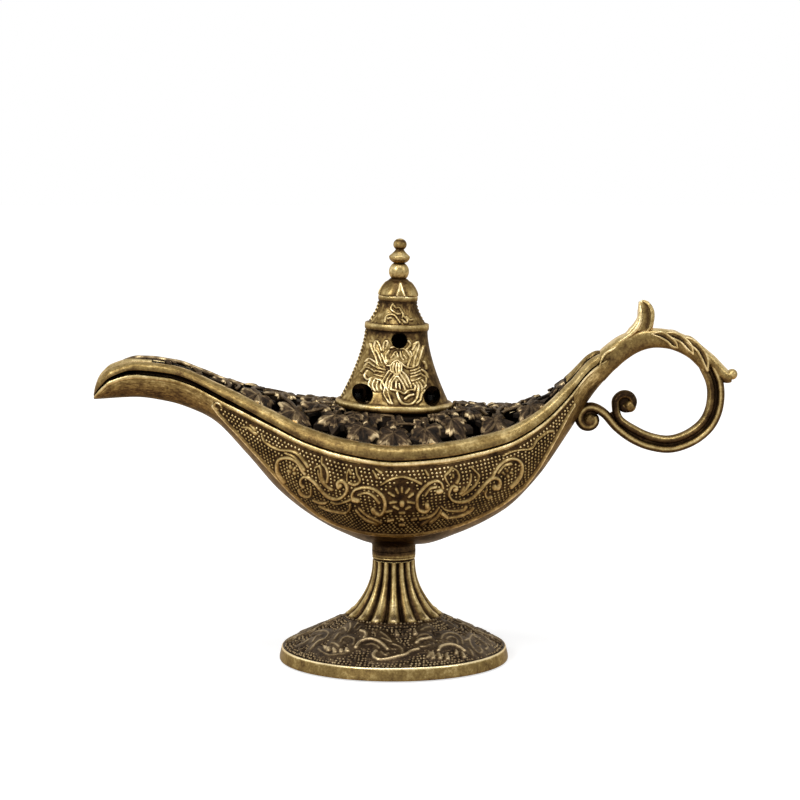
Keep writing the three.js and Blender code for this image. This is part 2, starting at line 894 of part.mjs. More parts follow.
// Bar stations on the tail from shares of the handle's reach
function onTail(stations) {
  return stations.map(([x, z, thickness, width]) => [
    tailReach + x * handleReach,
    rootMiddle + z * handleReach,
    thickness * handleReach,
    width * handleReach,
  ]);
}

// A line whose half thickness and half width change with the share of its length
function tapered(line, thickness, width) {
  return line.map(([x, z], i) => {
    const t = i / (line.length - 1);
    return [x, z, thickness(t) / handleReach, width(t) / handleReach];
  });
}

// A curl that winds in from a start angle, one way round, to a small heart
function volute(heart, radius, start, sweep, shrink) {
  const steps = 7;
  return Array.from({ length: steps }, (_, i) => {
    const share = i / (steps - 1);
    const angle = (start + sweep * share) * DEGREE;
    const r = (radius / handleReach) * (1 - shrink * share);
    return [heart[0] + r * Math.cos(angle), heart[1] + r * Math.sin(angle)];
  });
}

// A line shifted sideways in its own plane
function shifted(line, distance) {
  const curve = new THREE.SplineCurve(line.map(([x, z]) => new THREE.Vector2(x, z)));
  return line.map((_, i) => {
    const t = i / (line.length - 1);
    const tangent = curve.getTangent(t).multiplyScalar(distance / handleReach);
    const point = curve.getPoint(t);
    return [point.x + tangent.y, point.y - tangent.x];
  });
}

function handleSolid() {
  const arm = bar(
    onTail(
      tapered(
        armLine,
        (t) => armHalfThickness * (1 - 0.15 * t),
        (t) => armHalfWidth * (1 - 0.15 * t) + (tailHalfWidth - armHalfWidth) * Math.max(0, 1 - 2 * t),
      ),
    ),
    16,
    barSides,
  );
  const ridge = (line) => {
    const thickness = (t) => ridgeHalfThickness * (1 - 0.12 * t);
    const width = (t) => ridgeHalfWidth * (1 - 0.15 * t);
    return bar(onTail(tapered(line, thickness, width)), Math.round(1.8 * line.length), ridgeSides);
  };
  const inner = [
    ...shifted(ringLine, ridgeSpread),
    [0.111, -0.452],
    ...volute([0.164, -0.337], innerVoluteRadius, 185, -330, 0.55),
  ];
  const outer = [
    ...shifted(ringLine, -ridgeSpread),
    [0.068, -0.508],
    [-0.025, -0.409],
    ...volute([-0.124, -0.458], outerVoluteRadius, 80, 330, 0.5),
  ];
  const thumb = [
    [0.173, 0.161, 0.068, 0.071],
    [0.263, 0.266, 0.068, 0.074],
    [0.284, 0.384, 0.055, 0.071],
    [0.267, 0.446, 0.043, 0.056],
    [0.25, 0.48, 0.019, 0.028],
  ];
  const tipCurl = [
    [0.671, 0.125, 0.037, 0.065],
    [0.805, 0.005, 0.046, 0.068],
    [0.9, -0.085, 0.04, 0.062],
    [0.968, -0.096, 0.034, 0.05],
    [1, -0.072, 0.019, 0.031],
  ];
  const leaves = [thumb, tipCurl].map((stations) => bar(onTail(stations), 8, ridgeSides));
  const whole = joined([arm, ridge(inner), ridge(outer), ...leaves, ...acanthus()]);
  const before = new THREE.BoxGeometry(handleReach, handleReach, handleReach);
  before.translate(tailReach - handleReach / 2, 0, rootMiddle + handleReach / 4);
  return whole.subtract(solidOf(before));
}

// Three leaf lobes on each cheek of the ring's crown
function acanthus() {
  const lobes = [
    [0.325, 0.217, 0.539, 0.111],
    [0.471, 0.2, 0.65, 0.037],
    [0.65, 0.13, 0.774, -0.08],
  ];
  return lobes.flatMap(([x0, z0, x1, z1]) =>
    [-1, 1].map((side) =>
      bar(
        onTail([
          [x0, z0, 0.015, 0.015],
          [x0 + (x1 - x0) * 0.45, z0 + (z1 - z0) * 0.32, 0.031, 0.023],
          [x0 + (x1 - x0) * 0.8, z0 + (z1 - z0) * 0.72, 0.028, 0.023],
          [x1, z1, 0.009, 0.012],
        ]),
        4,
        ridgeSides,
      ).translate([0, side * armHalfWidth * 0.8, 0]),
    ),
  );
}

// Assembly

function piece(name, solid, colour, roughness) {
  const material = new THREE.MeshStandardMaterial({ color: colour, roughness, metalness: 1 });
  const mesh = new THREE.Mesh(geometryOf(solid), material);
  mesh.name = name;
  return mesh;
}

const antiqueBrass = 0x8d7743;
const darkBrass = 0x4a3f2c;
const steel = 0x9a9a98;

const lamp = new THREE.Group();
const foot = piece("foot", footSolid(), antiqueBrass, 0.42);
const collar = piece("neck_collar", collarSolid(), antiqueBrass, 0.4);
collar.position.z = collarLevel;
const washer = piece("foot_washer", washerSolid(), steel, 0.45);
washer.position.z = stemHeight - stemWeb - washerThickness;
const footScrewLength = stemWeb + washerThickness + collarHeight + footScrewBite;
const footScrew = piece(
  "foot_screw",
  screw(footScrewRadius, footScrewLength, footScrewHeadRadius, footScrewHeadHeight),
  steel,
  0.4,
);
footScrew.position.z = washer.position.z;
lamp.add(foot, collar, washer, footScrew);

const hull = new THREE.Group();
hull.position.z = keelLevel;
const dish = piece("cone_dish", dishSolid(), darkBrass, 0.5);
dish.position.z = padHeight + seatGap;
hull.add(piece("bowl", bowlSolid(), antiqueBrass, 0.42));
hull.add(piece("handle", handleSolid(), antiqueBrass, 0.4));
hull.add(dish);
hull.add(piece("lid", lidSolid(), darkBrass, 0.5));
lamp.add(hull);

const chimneyGroup = new THREE.Group();
chimneyGroup.position.z = seatLevel + seatGap;
chimneyGroup.rotation.set(0, chimneyLean, 0);
const turntable = new THREE.Group();
turntable.rotation.z = chimneyTurn;
turntable.add(piece("chimney", chimneySolid(), antiqueBrass, 0.4));
turntable.add(piece("finial", finialSolid(), antiqueBrass, 0.36));
const nut = piece("finial_nut", nutSolid(), steel, 0.4);
nut.position.z = ceiling - seatGap - nutHeight;
turntable.add(nut);
chimneyBossPlaces().forEach((p, i) => {
  const fastener = piece(
    `chimney_screw_${i + 1}`,
    screw(chimneyScrewRadius, chimneyScrewLength - boltGap, chimneyScrewHeadRadius, chimneyScrewHeadHeight),
    steel,
    0.4,
  );
  fastener.position.set(p.x, p.y, -2 * seatGap - seatThickness);
  turntable.add(fastener);
});
chimneyGroup.add(turntable);
lamp.add(chimneyGroup);

// The part's origin is under the middle of its outline
const part = new THREE.Group();
part.add(lamp);
const box = new THREE.Box3().setFromObject(part);
lamp.position.x = -(box.min.x + box.max.x) / 2;

export default part;
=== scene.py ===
import bpy
import numpy as np
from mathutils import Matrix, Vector


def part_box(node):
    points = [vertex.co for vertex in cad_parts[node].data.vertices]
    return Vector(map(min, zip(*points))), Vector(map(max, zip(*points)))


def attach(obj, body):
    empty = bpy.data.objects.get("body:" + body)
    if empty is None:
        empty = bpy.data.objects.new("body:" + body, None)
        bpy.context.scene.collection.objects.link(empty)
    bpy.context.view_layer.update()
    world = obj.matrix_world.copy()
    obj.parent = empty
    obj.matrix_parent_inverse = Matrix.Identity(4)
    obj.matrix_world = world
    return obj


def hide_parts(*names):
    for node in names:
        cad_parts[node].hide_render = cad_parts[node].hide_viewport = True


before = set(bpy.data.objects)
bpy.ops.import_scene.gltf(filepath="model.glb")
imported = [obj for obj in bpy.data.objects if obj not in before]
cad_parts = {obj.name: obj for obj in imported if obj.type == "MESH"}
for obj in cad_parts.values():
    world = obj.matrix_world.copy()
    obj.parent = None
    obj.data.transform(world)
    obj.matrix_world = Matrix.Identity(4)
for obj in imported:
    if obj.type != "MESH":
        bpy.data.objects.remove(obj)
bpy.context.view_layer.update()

foot_low, foot_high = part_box("foot")
AXIS_X = (foot_low.x + foot_high.x) / 2

# Sizes shared with the solid model: bowl
SPOUT_REACH = 76.9
TAIL_REACH = 55.0
HALF_BEAM = 27.0
SPOUT_HALF = 5.3
TAIL_HALF = 4.6
SPOUT_SWELL = 57.7
TAIL_SWELL = 56.0
SWELL_POWER = 1.6
KEEL_LEVEL = 29.4
BOWL_DEPTH = 25.4
SPOUT_SEAM_RISE = 19.4
TAIL_SEAM_RISE = 23.6
SPOUT_KEEL_RISE = 38.4
TAIL_KEEL_RISE = 44.0
BEAD_HEIGHT = 1.3
BEAD_PROUD = 0.5
NOSE = 4.5

# Lid
BAND_WIDTH = 3.7
BAND_HEIGHT = 3.3
SEAT_GAP = 0.3
LID_TO = 54.4
LID_TIP = 3.0
DOME_RISE = 11.0
SPOUT_RISE = 3.4
TAIL_RISE = 2.4
SPOUT_FALL = 1.6
VAULT_POWER = 3.5
SEAT_RADIUS = 16.3
LEAF_SIZE = 5.8
LEAF_PITCH = 8.0
ARC_PITCH = 0.92 * LEAF_PITCH
CLOSED_FROM = 0.8  # share of the spout's or the tail's reach beyond which the vault is closed

# Chimney, in its own frame
CHIMNEY_LEVEL = 65.2
CHIMNEY_LEAN = np.radians(2.2)
CHIMNEY_TURN = np.radians(6.0)
CHIMNEY_WALL = 1.5
FLANGE_HEIGHT = 1.9
BELL_FOOT_RADIUS = 14.0
BELL_TOP_RADIUS = 7.95
BELL_TOP = 19.5
BELT_BOTTOM = 20.0
HOOD_BOTTOM = 21.8
HOOD_FOOT_RADIUS = 7.3
HOOD_TOP_RADIUS = 4.9
CROWN_BAND = 26.8
CROWN_BAND_BOTTOM = CROWN_BAND + 0.5
CROWN_BOTTOM = 28.9
CROWN_TOP = 33.0
CROWN_TOP_RADIUS = 2.2

# Foot, neck and handle
FOOT_RADIUS = 29.6
RIM_TOP = 3.3
CONE_EDGE_RADIUS = 28.4
CONE_EDGE_HEIGHT = 3.2
SHOULDER_RADIUS = 13.4
SHOULDER_HEIGHT = 10.2
STEM_RADIUS = 5.5
STEM_HEIGHT = 25.6
STEM_FLARE = 2.2
SCREW_HOLE = 2.4
ROOT_LEVEL = KEEL_LEVEL + 47.7

# The main view, which the drawn ornament is laid out in: 800 units across, aimed at this point
VIEW_SIZE = 800
AIM = np.array([1.6, 0.0, 67.0])
PITCH = np.radians(6.8)
DISTANCE = 692.8
FOCAL = 2700.0


def project(x, y, z):
    """Where a point falls in the main view."""
    depth = DISTANCE + np.cos(PITCH) * y - (z - AIM[2]) * np.sin(PITCH)
    across = VIEW_SIZE / 2 + FOCAL * (x - AIM[0]) / depth
    down = VIEW_SIZE / 2 - FOCAL * ((z - AIM[2]) * np.cos(PITCH) + y * np.sin(PITCH)) / depth
    return across, down


def strokes(text):
    """Drawn lines, as across,down points in the main view, with a slash between two lines."""
    return [[tuple(map(float, point.split(","))) for point in line.split()] for line in text.split("/")]


# Curves and meshes


def ramp(x, start, end):
    """0 up to start, 1 from end on, and straight between them."""
    return np.clip((x - start) / (end - start), 0, 1)


def hump(x, middle, width):
    """A bell curve, 1 at its middle."""
    return np.exp(-(((x - middle) / width) ** 2))


def full_turn(count):
    return np.linspace(0, 2 * np.pi, count, endpoint=False)


def turned(a, b, angle):
    """Two coordinates, turned by an angle from a towards b."""
    return a * np.cos(angle) - b * np.sin(angle), a * np.sin(angle) + b * np.cos(angle)


def unit(vectors):
    return vectors / np.maximum(np.linalg.norm(vectors, axis=-1, keepdims=True), 1e-12)


def lengths(points):
    """How far along its line each point is."""
    steps = np.linalg.norm(np.diff(points, axis=0), axis=-1)
    return np.concatenate([0 * steps[:1], np.cumsum(steps, axis=0)])


def spokes(side, other, count):
    """Vectors all round in the planes of pairs of vectors."""
    angle = full_turn(count)[:, None]
    return side[:, None] * np.cos(angle) + other[:, None] * np.sin(angle)


def curve(points):
    """A smooth function through (x, value) points that never overshoots them."""
    px, py = np.array(points, float).T
    slope = np.diff(py) / np.diff(px)
    tangent = np.empty_like(py)
    tangent[0], tangent[-1] = slope[0], slope[-1]
    before, after = slope[:-1], slope[1:]
    total = np.where(before + after == 0, 1, before + after)
    tangent[1:-1] = np.where(before * after <= 0, 0, 2 * before * after / total)

    def value(x):
        i = np.clip(np.searchsorted(px, x, side="right") - 1, 0, len(px) - 2)
        span = px[i + 1] - px[i]
        t = (x - px[i]) / span
        rise = t * t * (3 - 2 * t)
        bend = tangent[i] * t * (1 - t) ** 2 - tangent[i + 1] * t * t * (1 - t)
        return py[i] * (1 - rise) + py[i + 1] * rise + span * bend

    return value


def spline(points, count):
    """Evenly spread points on a rounded line through the given ones."""
    p = np.array(points, float)
    p = np.concatenate([[2 * p[0] - p[1]], p, [2 * p[-1] - p[-2]]])
    t = np.linspace(0, len(p) - 3, count)
    i = np.minimum(t.astype(int), len(p) - 4)
    t = (t - i)[:, None]
    a, b, c, d = p[i], p[i + 1], p[i + 2], p[i + 3]
    return 0.5 * (2 * b + (c - a) * t + (2 * a - 5 * b + 4 * c - d) * t**2 + (3 * b - a - 3 * c + d) * t**3)


def curl(heart, radius, start, sweep, inner, count):
    """A spiral in towards its heart, with angles in degrees, to the inner share of its radius."""
    share = np.linspace(0, 1, count)
    angle = np.radians(start + sweep * share)
    r = radius * (1 - (1 - inner) * share)
    return np.stack([heart[0] + r * np.cos(angle), heart[1] + r * np.sin(angle)], -1)


def smooth(values, times):
    """A field on a grid, blurred."""
    for _ in range(times):
        p = np.pad(values, 1, mode="edge")
        values = (4 * values + p[:-2, 1:-1] + p[2:, 1:-1] + p[1:-1, :-2] + p[1:-1, 2:]) / 8
    return values


def mottle(shape, seed, times):
    """Even noise over a grid, in blotches."""
    noise = smooth(np.random.default_rng(seed).normal(size=shape), times)
    return noise / noise.std()


def normals(grid, inside, wrap=False):
    """Unit normals of a grid of points, away from the points inside it."""
    if wrap:
        padded = np.concatenate([grid[:, -1:], grid, grid[:, :1]], 1)
        along = np.gradient(padded, axis=1)[:, 1:-1]
    else:
        along = np.gradient(grid, axis=1)
    n = unit(np.cross(np.gradient(grid, axis=0), along))
    return n if np.sum(n * (grid - inside)) >= 0 else -n


def lathe(profile, sides):
    """A grid of points round Z through (radius, height) points."""
    profile = np.array(profile, float)
    angle = full_turn(sides)
    r, z = profile[:, :1], profile[:, 1:]
    return np.stack([r * np.cos(angle), r * np.sin(angle), z + 0 * angle], -1)


def repeated_front(points):
    """Points with those of the back half turned round to the front, where the ornament is drawn."""
    return points * np.where(points[..., 1:2] > 0, [-1, -1, 1], [1, 1, 1])


class Piece:
    """One piece of the model, gathered from grids and loose faces."""

    def __init__(self):
        self.points, self.wear, self.faces, self.count = [], [], [], 0

    def add(self, points, faces, wear):
        points = np.asarray(points, float).reshape(-1, 3)
        self.points.append(points)
        self.wear.append(np.broadcast_to(np.ravel(wear), len(points)))
        self.faces += [np.asarray(f) + self.count for f in faces if len(f)]
        self.count += len(points)

    def grid(self, points, wear, inside, wrap=False, keep=None):
        """A sheet through a grid of points, facing away from the points inside it."""
        rows, columns = points.shape[:2]
        index = np.arange(rows * columns).reshape(rows, columns)
        left = index if wrap else index[:, :-1]
        right = np.roll(index, -1, 1) if wrap else index[:, 1:]
        quads = np.stack([left[:-1], left[1:], right[1:], right[:-1]], -1).reshape(-1, 4)
        if keep is not None:
            quads = quads[keep.ravel()[quads].any(1)]
        p = points.reshape(-1, 3)
        facing = np.cross(p[quads[:, 2]] - p[quads[:, 0]], p[quads[:, 3]] - p[quads[:, 1]])
        middle = np.broadcast_to(inside, points.shape).reshape(-1, 3)[quads[:, 0]]
        if np.sum(facing * (p[quads[:, 0]] - middle)) < 0:
            quads = quads[:, ::-1]
        self.add(p, [quads], np.broadcast_to(wear, (rows, columns)))

    def cad_faces(self, node, chosen, wear, smooth_over=False):
        """Takes over the faces of a solid for which chosen(centre, normal) holds."""
        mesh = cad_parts[node].data
        co = np.empty(len(mesh.vertices) * 3)
        mesh.vertices.foreach_get("co", co)
        co = co.reshape(-1, 3) * 1000 - [AXIS_X * 1000, 0, 0]
        mesh.calc_loop_triangles()
        corner = np.empty(len(mesh.loop_triangles) * 3, int)
        mesh.loop_triangles.foreach_get("vertices", corner)
        corner = corner.reshape(-1, 3)
        a, b, c = co[corner[:, 0]], co[corner[:, 1]], co[corner[:, 2]]
        corner = corner[chosen((a + b + c) / 3, unit(np.cross(b - a, c - a)))]
        if smooth_over:
            co, shared = np.unique(np.round(co, 3), axis=0, return_inverse=True)
            corner = shared.ravel()[corner]
        used, renumbered = np.unique(corner, return_inverse=True)
        self.add(co[used], [renumbered.reshape(-1, 3)], wear)

    def build(self, name, body, slot, *nodes):
        """Makes the object. It rides a body and stands for the nodes named."""
        points = np.concatenate(self.points) / 1000 + [AXIS_X, 0, 0]
        loops = np.concatenate([f.ravel() for f in self.faces])
        sizes = np.concatenate([np.full(len(f), f.shape[1]) for f in self.faces])
        starts = np.concatenate([[0], np.cumsum(sizes)[:-1]])
        mesh = bpy.data.meshes.new(name)
        mesh.vertices.add(len(points))
        mesh.vertices.foreach_set("co", points.ravel())
        mesh.loops.add(len(loops))
        mesh.loops.foreach_set("vertex_index", loops.astype(np.int32))
        mesh.polygons.add(len(sizes))
        mesh.polygons.foreach_set("loop_start", starts.astype(np.int32))
        mesh.polygons.foreach_set("use_smooth", np.full(len(sizes), True))
        mesh.update(calc_edges=True)
        mesh.validate()
        # This attribute holds patina and wear together with the painted highlights and painted shade that the
        # pieces lay on
        wear = mesh.attributes.new("wear", "FLOAT", "POINT")
        wear.data.foreach_set("value", np.clip(np.concatenate(self.wear), 0, 1).astype(np.float32))
        mesh.materials.append(MATERIALS[slot])
        obj = bpy.data.objects.new(name, mesh)
        bpy.context.scene.collection.objects.link(obj)
        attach(obj, body)
        if nodes:
            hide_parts(*nodes)


# Relief


def stamp(height, u, v, line, width, rise):
    """Raises a rounded ridge along a line of (u, v) points. Its width is a number, or a start and an end."""
    start, end = width if np.ndim(width) else (width, width)
    line = spline(line, int(lengths(line)[-1] / (0.3 * min(start, end))) + 8)
    half = np.linspace(start, end, len(line))
    part_size = 16
    for first in range(0, len(line), part_size):
        part, wide = line[first:first + part_size], half[first:first + part_size]
        low, high = part.min(0) - wide.max(), part.max(0) + wide.max()
        near = (u > low[0]) & (u < high[0]) & (v > low[1]) & (v < high[1])
        share = np.hypot(u[near][:, None] - part[:, 0], v[near][:, None] - part[:, 1]) / wide
        found = rise * np.sqrt(np.clip(1 - np.min(share, 1, initial=9) ** 2, 0, 1))
        height[near] = np.maximum(height[near], found)


def engraved(u, v, lines):
    """Height of a drawn ornament, given as (width, rise, lines)."""
    height = np.zeros_like(u)
    for width, rise, group in lines:
        for line in group:
            stamp(height, u, v, line, width, rise)
    return height


# Lines of the hull

seam_share = curve([
    (-1, 0.68), (-0.975, 0.8), (-0.94, 0.92), (-0.86, 1), (-0.74, 0.955), (-0.54, 0.64), (-0.4, 0.4),
    (-0.27, 0.19), (-0.14, 0.065), (0, 0), (0.2, 0.02), (0.39, 0.075), (0.53, 0.145), (0.625, 0.245),
    (0.72, 0.395), (0.815, 0.61), (0.907, 0.86), (1, 1),
])
keel_share = curve([
    (-1, 0.985), (-0.86, 1), (-0.753, 0.971), (-0.646, 0.898), (-0.594, 0.838), (-0.488, 0.615),
    (-0.381, 0.37), (-0.274, 0.2), (-0.168, 0.083), (-0.065, 0.01), (0, 0), (0.127, 0.005),
    (0.293, 0.068), (0.516, 0.211), (0.665, 0.395), (0.815, 0.666), (0.925, 0.884), (1, 1),
])


def by_end(x, spout, tail):
    """One value towards the spout, and another towards the handle."""
    return np.where(x < 0, spout, tail)


def share_along(x):
    return x / by_end(x, SPOUT_REACH, TAIL_REACH)


def seam(x):
    return KEEL_LEVEL + BOWL_DEPTH + by_end(x, SPOUT_SEAM_RISE, TAIL_SEAM_RISE) * seam_share(share_along(x))


def keel(x):
    return KEEL_LEVEL + by_end(x, SPOUT_KEEL_RISE, TAIL_KEEL_RISE) * keel_share(share_along(x))


def tip(distance, length):
    """A quarter of a circle, from 0 at a tip to 1 at a length from it."""
    return np.sqrt(1 - (1 - np.clip(distance / length, 0, 1)) ** 2)


def beam(x):
    end = by_end(x, SPOUT_HALF, TAIL_HALF)
    swell = np.minimum(1, np.abs(x) / by_end(x, SPOUT_SWELL, TAIL_SWELL))
    bulge = np.maximum(np.cos(np.pi / 2 * swell), 0) ** SWELL_POWER
    return (end + (HALF_BEAM - end) * bulge) * np.maximum(0.2, tip(x + SPOUT_REACH, NOSE))


def dome(x):
    narrow = by_end(x, SPOUT_HALF, TAIL_HALF)
    low = by_end(x, SPOUT_RISE, TAIL_RISE)
    bulge = np.maximum(0, beam(x) - narrow) / (HALF_BEAM - narrow)
    return low + (DOME_RISE - low) * bulge ** by_end(x, SPOUT_FALL, 1)


def bead_at(x):
    return np.minimum(BEAD_HEIGHT, (seam(x) - keel(x)) * 0.4)


def hull(x, angle):
    """A point of the bowl's side: the angle runs from -90 degrees at one seam to 90 at the other."""
    top = seam(x) - bead_at(x) / 2
    roundness = 1 + 0.33 * np.cos(np.pi / 2 * np.minimum(1, np.abs(share_along(x)) / 0.7))
    side = np.sign(angle) * np.abs(np.sin(angle)) ** roundness
    y = (beam(x) - BEAD_PROUD) * side
    return np.stack(np.broadcast_arrays(x, y, top - (top - keel(x)) * np.cos(angle)), -1)


def hull_stations(count):
    nose = -SPOUT_REACH + NOSE * (1 - np.cos(np.linspace(0, np.pi / 2, count // 20)))
    return np.concatenate([nose[:-1], np.linspace(-SPOUT_REACH + NOSE, TAIL_REACH, count)])


def middle_line(x):
    return np.stack([x, 0 * x, seam(x)], -1)


def first_twice(count):
    """Numbers of stations with the first one twice, so that it can be drawn in to the middle."""
    return np.maximum(np.arange(-1, count), 0)


# Materials


def rgb(red, green, blue):
    """Linear colour of an 8-bit one."""
    c = np.array([red, green, blue]) / 255
    return (*np.where(c <= 0.04045, c / 12.92, ((c + 0.055) / 1.055) ** 2.4), 1.0)


class Graph:
    """The nodes of a material or world. A value given to an input is fixed, or another node's output."""

    def __init__(self, owner):
        owner.use_nodes = True
        self.nodes, self.links = owner.node_tree.nodes, owner.node_tree.links

    def feed(self, socket, value):
        if isinstance(value, bpy.types.NodeSocket):
            self.links.new(value, socket)
        else:
            socket.default_value = value

    def set(self, node, **settings):
        """Settings are properties of the node, or inputs with _ for each space in their names."""
        for key, value in settings.items():
            if hasattr(node, key):
                setattr(node, key, value)
            else:
                self.feed(node.inputs[key.replace("_", " ")], value)

    def add(self, kind, *values, **settings):
        node = self.nodes.new("ShaderNode" + kind)
        self.set(node, **settings)
        for socket, value in zip(node.inputs, values):
            self.feed(socket, value)
        return node

    def math(self, operation, *values, **settings):
        return self.add("Math", *values, operation=operation, **settings).outputs[0]

    def background_ray(self):
        """1 for the rays that show the background: the camera's own, and those that metal or glass sends."""
        path = self.add("LightPath").outputs
        shown = self.math("MAXIMUM", path["Is Camera Ray"], path["Is Glossy Ray"])
        return self.math("MAXIMUM", shown, path["Is Transmission Ray"])


def metal_with_wear_and_painted_shade(name, colours, metallic, edge, rough, grain):
    """Patina by the piece's wear, which also holds painted highlights and painted shade: dark in the hollows,
    bright on what is handled, with grain and blotches. Faces turned up are painted lighter, and faces turned
    down darker and warmer, as shade.
    """
    material = bpy.data.materials.new(name)
    graph = Graph(material)
    place = graph.add("TexCoord").outputs["Object"]
    wear_and_light_value = graph.add("Attribute", attribute_name="wear").outputs["Fac"]
    speckle = graph.add("TexNoise", Vector=place, Scale=grain, Detail=3.0, Roughness=0.7).outputs["Fac"]
    blotch = graph.add("TexNoise", Vector=place, Scale=240.0, Detail=4.0, Roughness=0.6).outputs["Fac"]
    facing = graph.add("SeparateXYZ", graph.add("NewGeometry").outputs["Normal"]).outputs["Z"]
    total = graph.math("MULTIPLY_ADD", speckle, 0.6, wear_and_light_value)
    total = graph.math("MULTIPLY_ADD", blotch, 0.8, total)
    # Painted light and shade: lighter where the face turns up, darker where it turns down
    total = graph.math("MULTIPLY_ADD", facing, 0.1, total)
    level = graph.math("SUBTRACT", total, 0.7, use_clamp=True)
    patina = graph.add("ValToRGB", level)
    elements = patina.color_ramp.elements
    for position, _ in colours[1:-1]:
        elements.new(position)
    for element, (position, colour) in zip(elements, colours):
        element.position = position
        element.color = rgb(*colour)
    # Painted shade: what faces down is darker and warmer
    under = graph.add("MapRange", Value=facing, From_Min=0.1, From_Max=-0.7).outputs[0]
    warm_painted_shade = graph.add("Mix", data_type="RGBA", blend_type="MULTIPLY")
    graph.set(warm_painted_shade, Factor=under, A=patina.outputs[0], B=(0.92, 0.71, 0.52, 1))
    gloss = graph.add("MapRange", Value=level, To_Min=rough[0], To_Max=rough[1]).outputs[0]
    bump = graph.add("Bump", Strength=0.4, Distance=0.0001, Height=speckle).outputs[0]
    shader = graph.nodes["Principled BSDF"]
    graph.set(shader, Metallic=metallic, Specular_Tint=(*edge, 1), Roughness=gloss, Normal=bump)
    graph.set(shader, Base_Color=warm_painted_shade.outputs["Result"])
    return material


MATERIALS = {
    "antique_brass": metal_with_wear_and_painted_shade(
        "antique_brass",
        [
            (0, (30, 18, 8)), (0.25, (73, 54, 30)), (0.5, (121, 100, 58)), (0.75, (177, 156, 107)),
            (1, (234, 214, 168)),
        ],
        metallic=0.88, edge=(0.78, 0.65, 0.5), rough=(0.5, 0.25), grain=1500.0,
    ),
    "dark_brass": metal_with_wear_and_painted_shade(
        "dark_brass",
        [(0, (10, 6, 4)), (0.3, (50, 37, 24)), (0.6, (104, 86, 60)), (1, (193, 172, 132))],
        metallic=0.75, edge=(0.86, 0.77, 0.66), rough=(0.56, 0.34), grain=1300.0,
    ),
    "steel": metal_with_wear_and_painted_shade(
        "steel",
        [(0, (70, 69, 66)), (0.5, (118, 117, 113)), (1, (170, 169, 165))],
        metallic=0.9, edge=(1.0, 1.0, 1.0), rough=(0.5, 0.3), grain=900.0,
    ),
}

# Bowl: stippled panels with drawn scrolls between a rim bead and a plain keel

LOWER_BORDER = strokes("""
    213,406 220,415 230,425.5 240,436 250,447 260,458 270,469 280,480 290,491 300,500 310,508.5 321,516.5
    336,524 350,529 364,532.5 380,534.5 400,535.5 420,534 440,530 460,524.5 480,516 500,505.5 520,490
    530,479 540,465 550,448 560,430 568,415 574,405
""")[0]
BOWL_SCROLLS = [
    (1.3, 0.45, [LOWER_BORDER]),
    ((1.4, 2.2), 0.55, strokes("""
        304,487 301,484 301,480 304,477 309,478 315,483 321,490 327,496 334,499 341,498 346,493 347,488
        345,483 341,481 338,483 338,486 / 457,487 453,486 450,490 449,495 452,500 458,502 466,501 473,497
        480,490 487,482 493,478 498,479 500,483 498,488 495,488 / 353,500 352,495 355,490 362,488 370,488
        377,491 383,497 385,504 384,511 380,515 375,513 / 443,488 441,483 436,481 430,483 423,489 418,496
        417,504 419,510 425,512 429,508 / 305,474 302,470 298,463 292,459 285,458 279,460 277,465 278,473
        284,482 / 492,478 496,470 502,463 510,459 518,460 522,466 521,474 517,481 511,487
    """)),
    (2.7, 0.6, strokes("""
        373,510 374,512 / 427,505 427,507 / 340,486 339,487 / 456,489 455,490 / 495,487 494,488 / 354,500
        358,501 / 441,491 438,492 / 402,503 402,505 / 442,514 446,517
    """)),
    ((1.0, 1.7), 0.45, strokes("""
        262,436 265,442 272,447 280,450 290,451 297,454 303,460 308,467 / 285,453 294,457 300,464 304,470 /
        503,456 511,452 520,450 530,449 534,445 537,440 542,436 548,432 553,431 / 242,427 248,428 256,434 /
        250,425 255,430 / 311,489 311,495 307,497 301,494 299,490 / 487,489 485,494 487,498 491,497 /
        322,457 322,463 326,468 328,475 327,482 / 315,468 319,466 321,470 322,478 326,486 / 318,471 320,478
        325,485 332,490 / 471,467 475,471 479,476 476,484 470,490 462,495 / 471,474 470,482 466,489 460,494
        / 464,487 462,491 / 347,481 347,475 349,470 351,474 / 356,468 357,474 360,481 355,485 349,483 /
        449,485 446,480 445,476 449,472 452,468 / 452,468 457,471 459,477 457,483 / 358,495 366,493 373,496
        379,503 / 425,496 430,489 436,487 / 313,500 320,503 326,503 / 331,502 337,504 345,502 350,500 /
        319,506 328,510 337,512 345,513 350,509 350,505 / 441,506 446,510 455,511 463,510 466,507 / 440,516
        446,518 455,517 463,515 470,511 473,508 / 356,510 361,516 368,521 377,524 / 359,508 365,514 373,519
        381,523 / 439,507 435,513 429,517 420,519 / 441,510 437,517 430,523 / 432,516 427,521 422,525 /
        498,473 504,466 511,464 / 373,471 375,474 377,478 / 376,469 381,473 / 425,470 428,475 / 381,485
        390,480 402,477 413,480 421,484 / 222,408 220,404 216,403 214,407 217,410
    """)),
    (1.5, 0.45, strokes("""
        290,466 291,468 / 295,468 294,470 / 288,471 290,472 / 295,474 294,473 / 507,470 507,471 / 511,473
        512,473 / 503,473 504,474 / 508,477 508,476 / 389,493 394,496 / 396,489 398,493 / 402,488 402,492 /
        409,489 406,493 / 413,494 409,497 / 390,503 396,502 / 414,503 408,502 / 394,507 398,509 / 410,507
        406,509 / 388,521 393,520 / 400,513 404,513 / 401,519 403,520 / 412,520 416,519 / 386,512 391,511 /
        400,525 404,525 / 354,477 354,478 / 453,475 453,477
    """)),
]
FLOWER = (402, 499)
FLOWER_RADIUS = 17
DOT_PITCH = 1.12
DOT_RADIUS = 0.34
DOT_RISE = 0.24
BOSS = [(SCREW_HOLE, 28.22), (5.3, 28.22), (5.6, 28.4), (5.6, 29.1), (5.7, 29.7), (6.4, 30.5), (8.0, 31.4)]


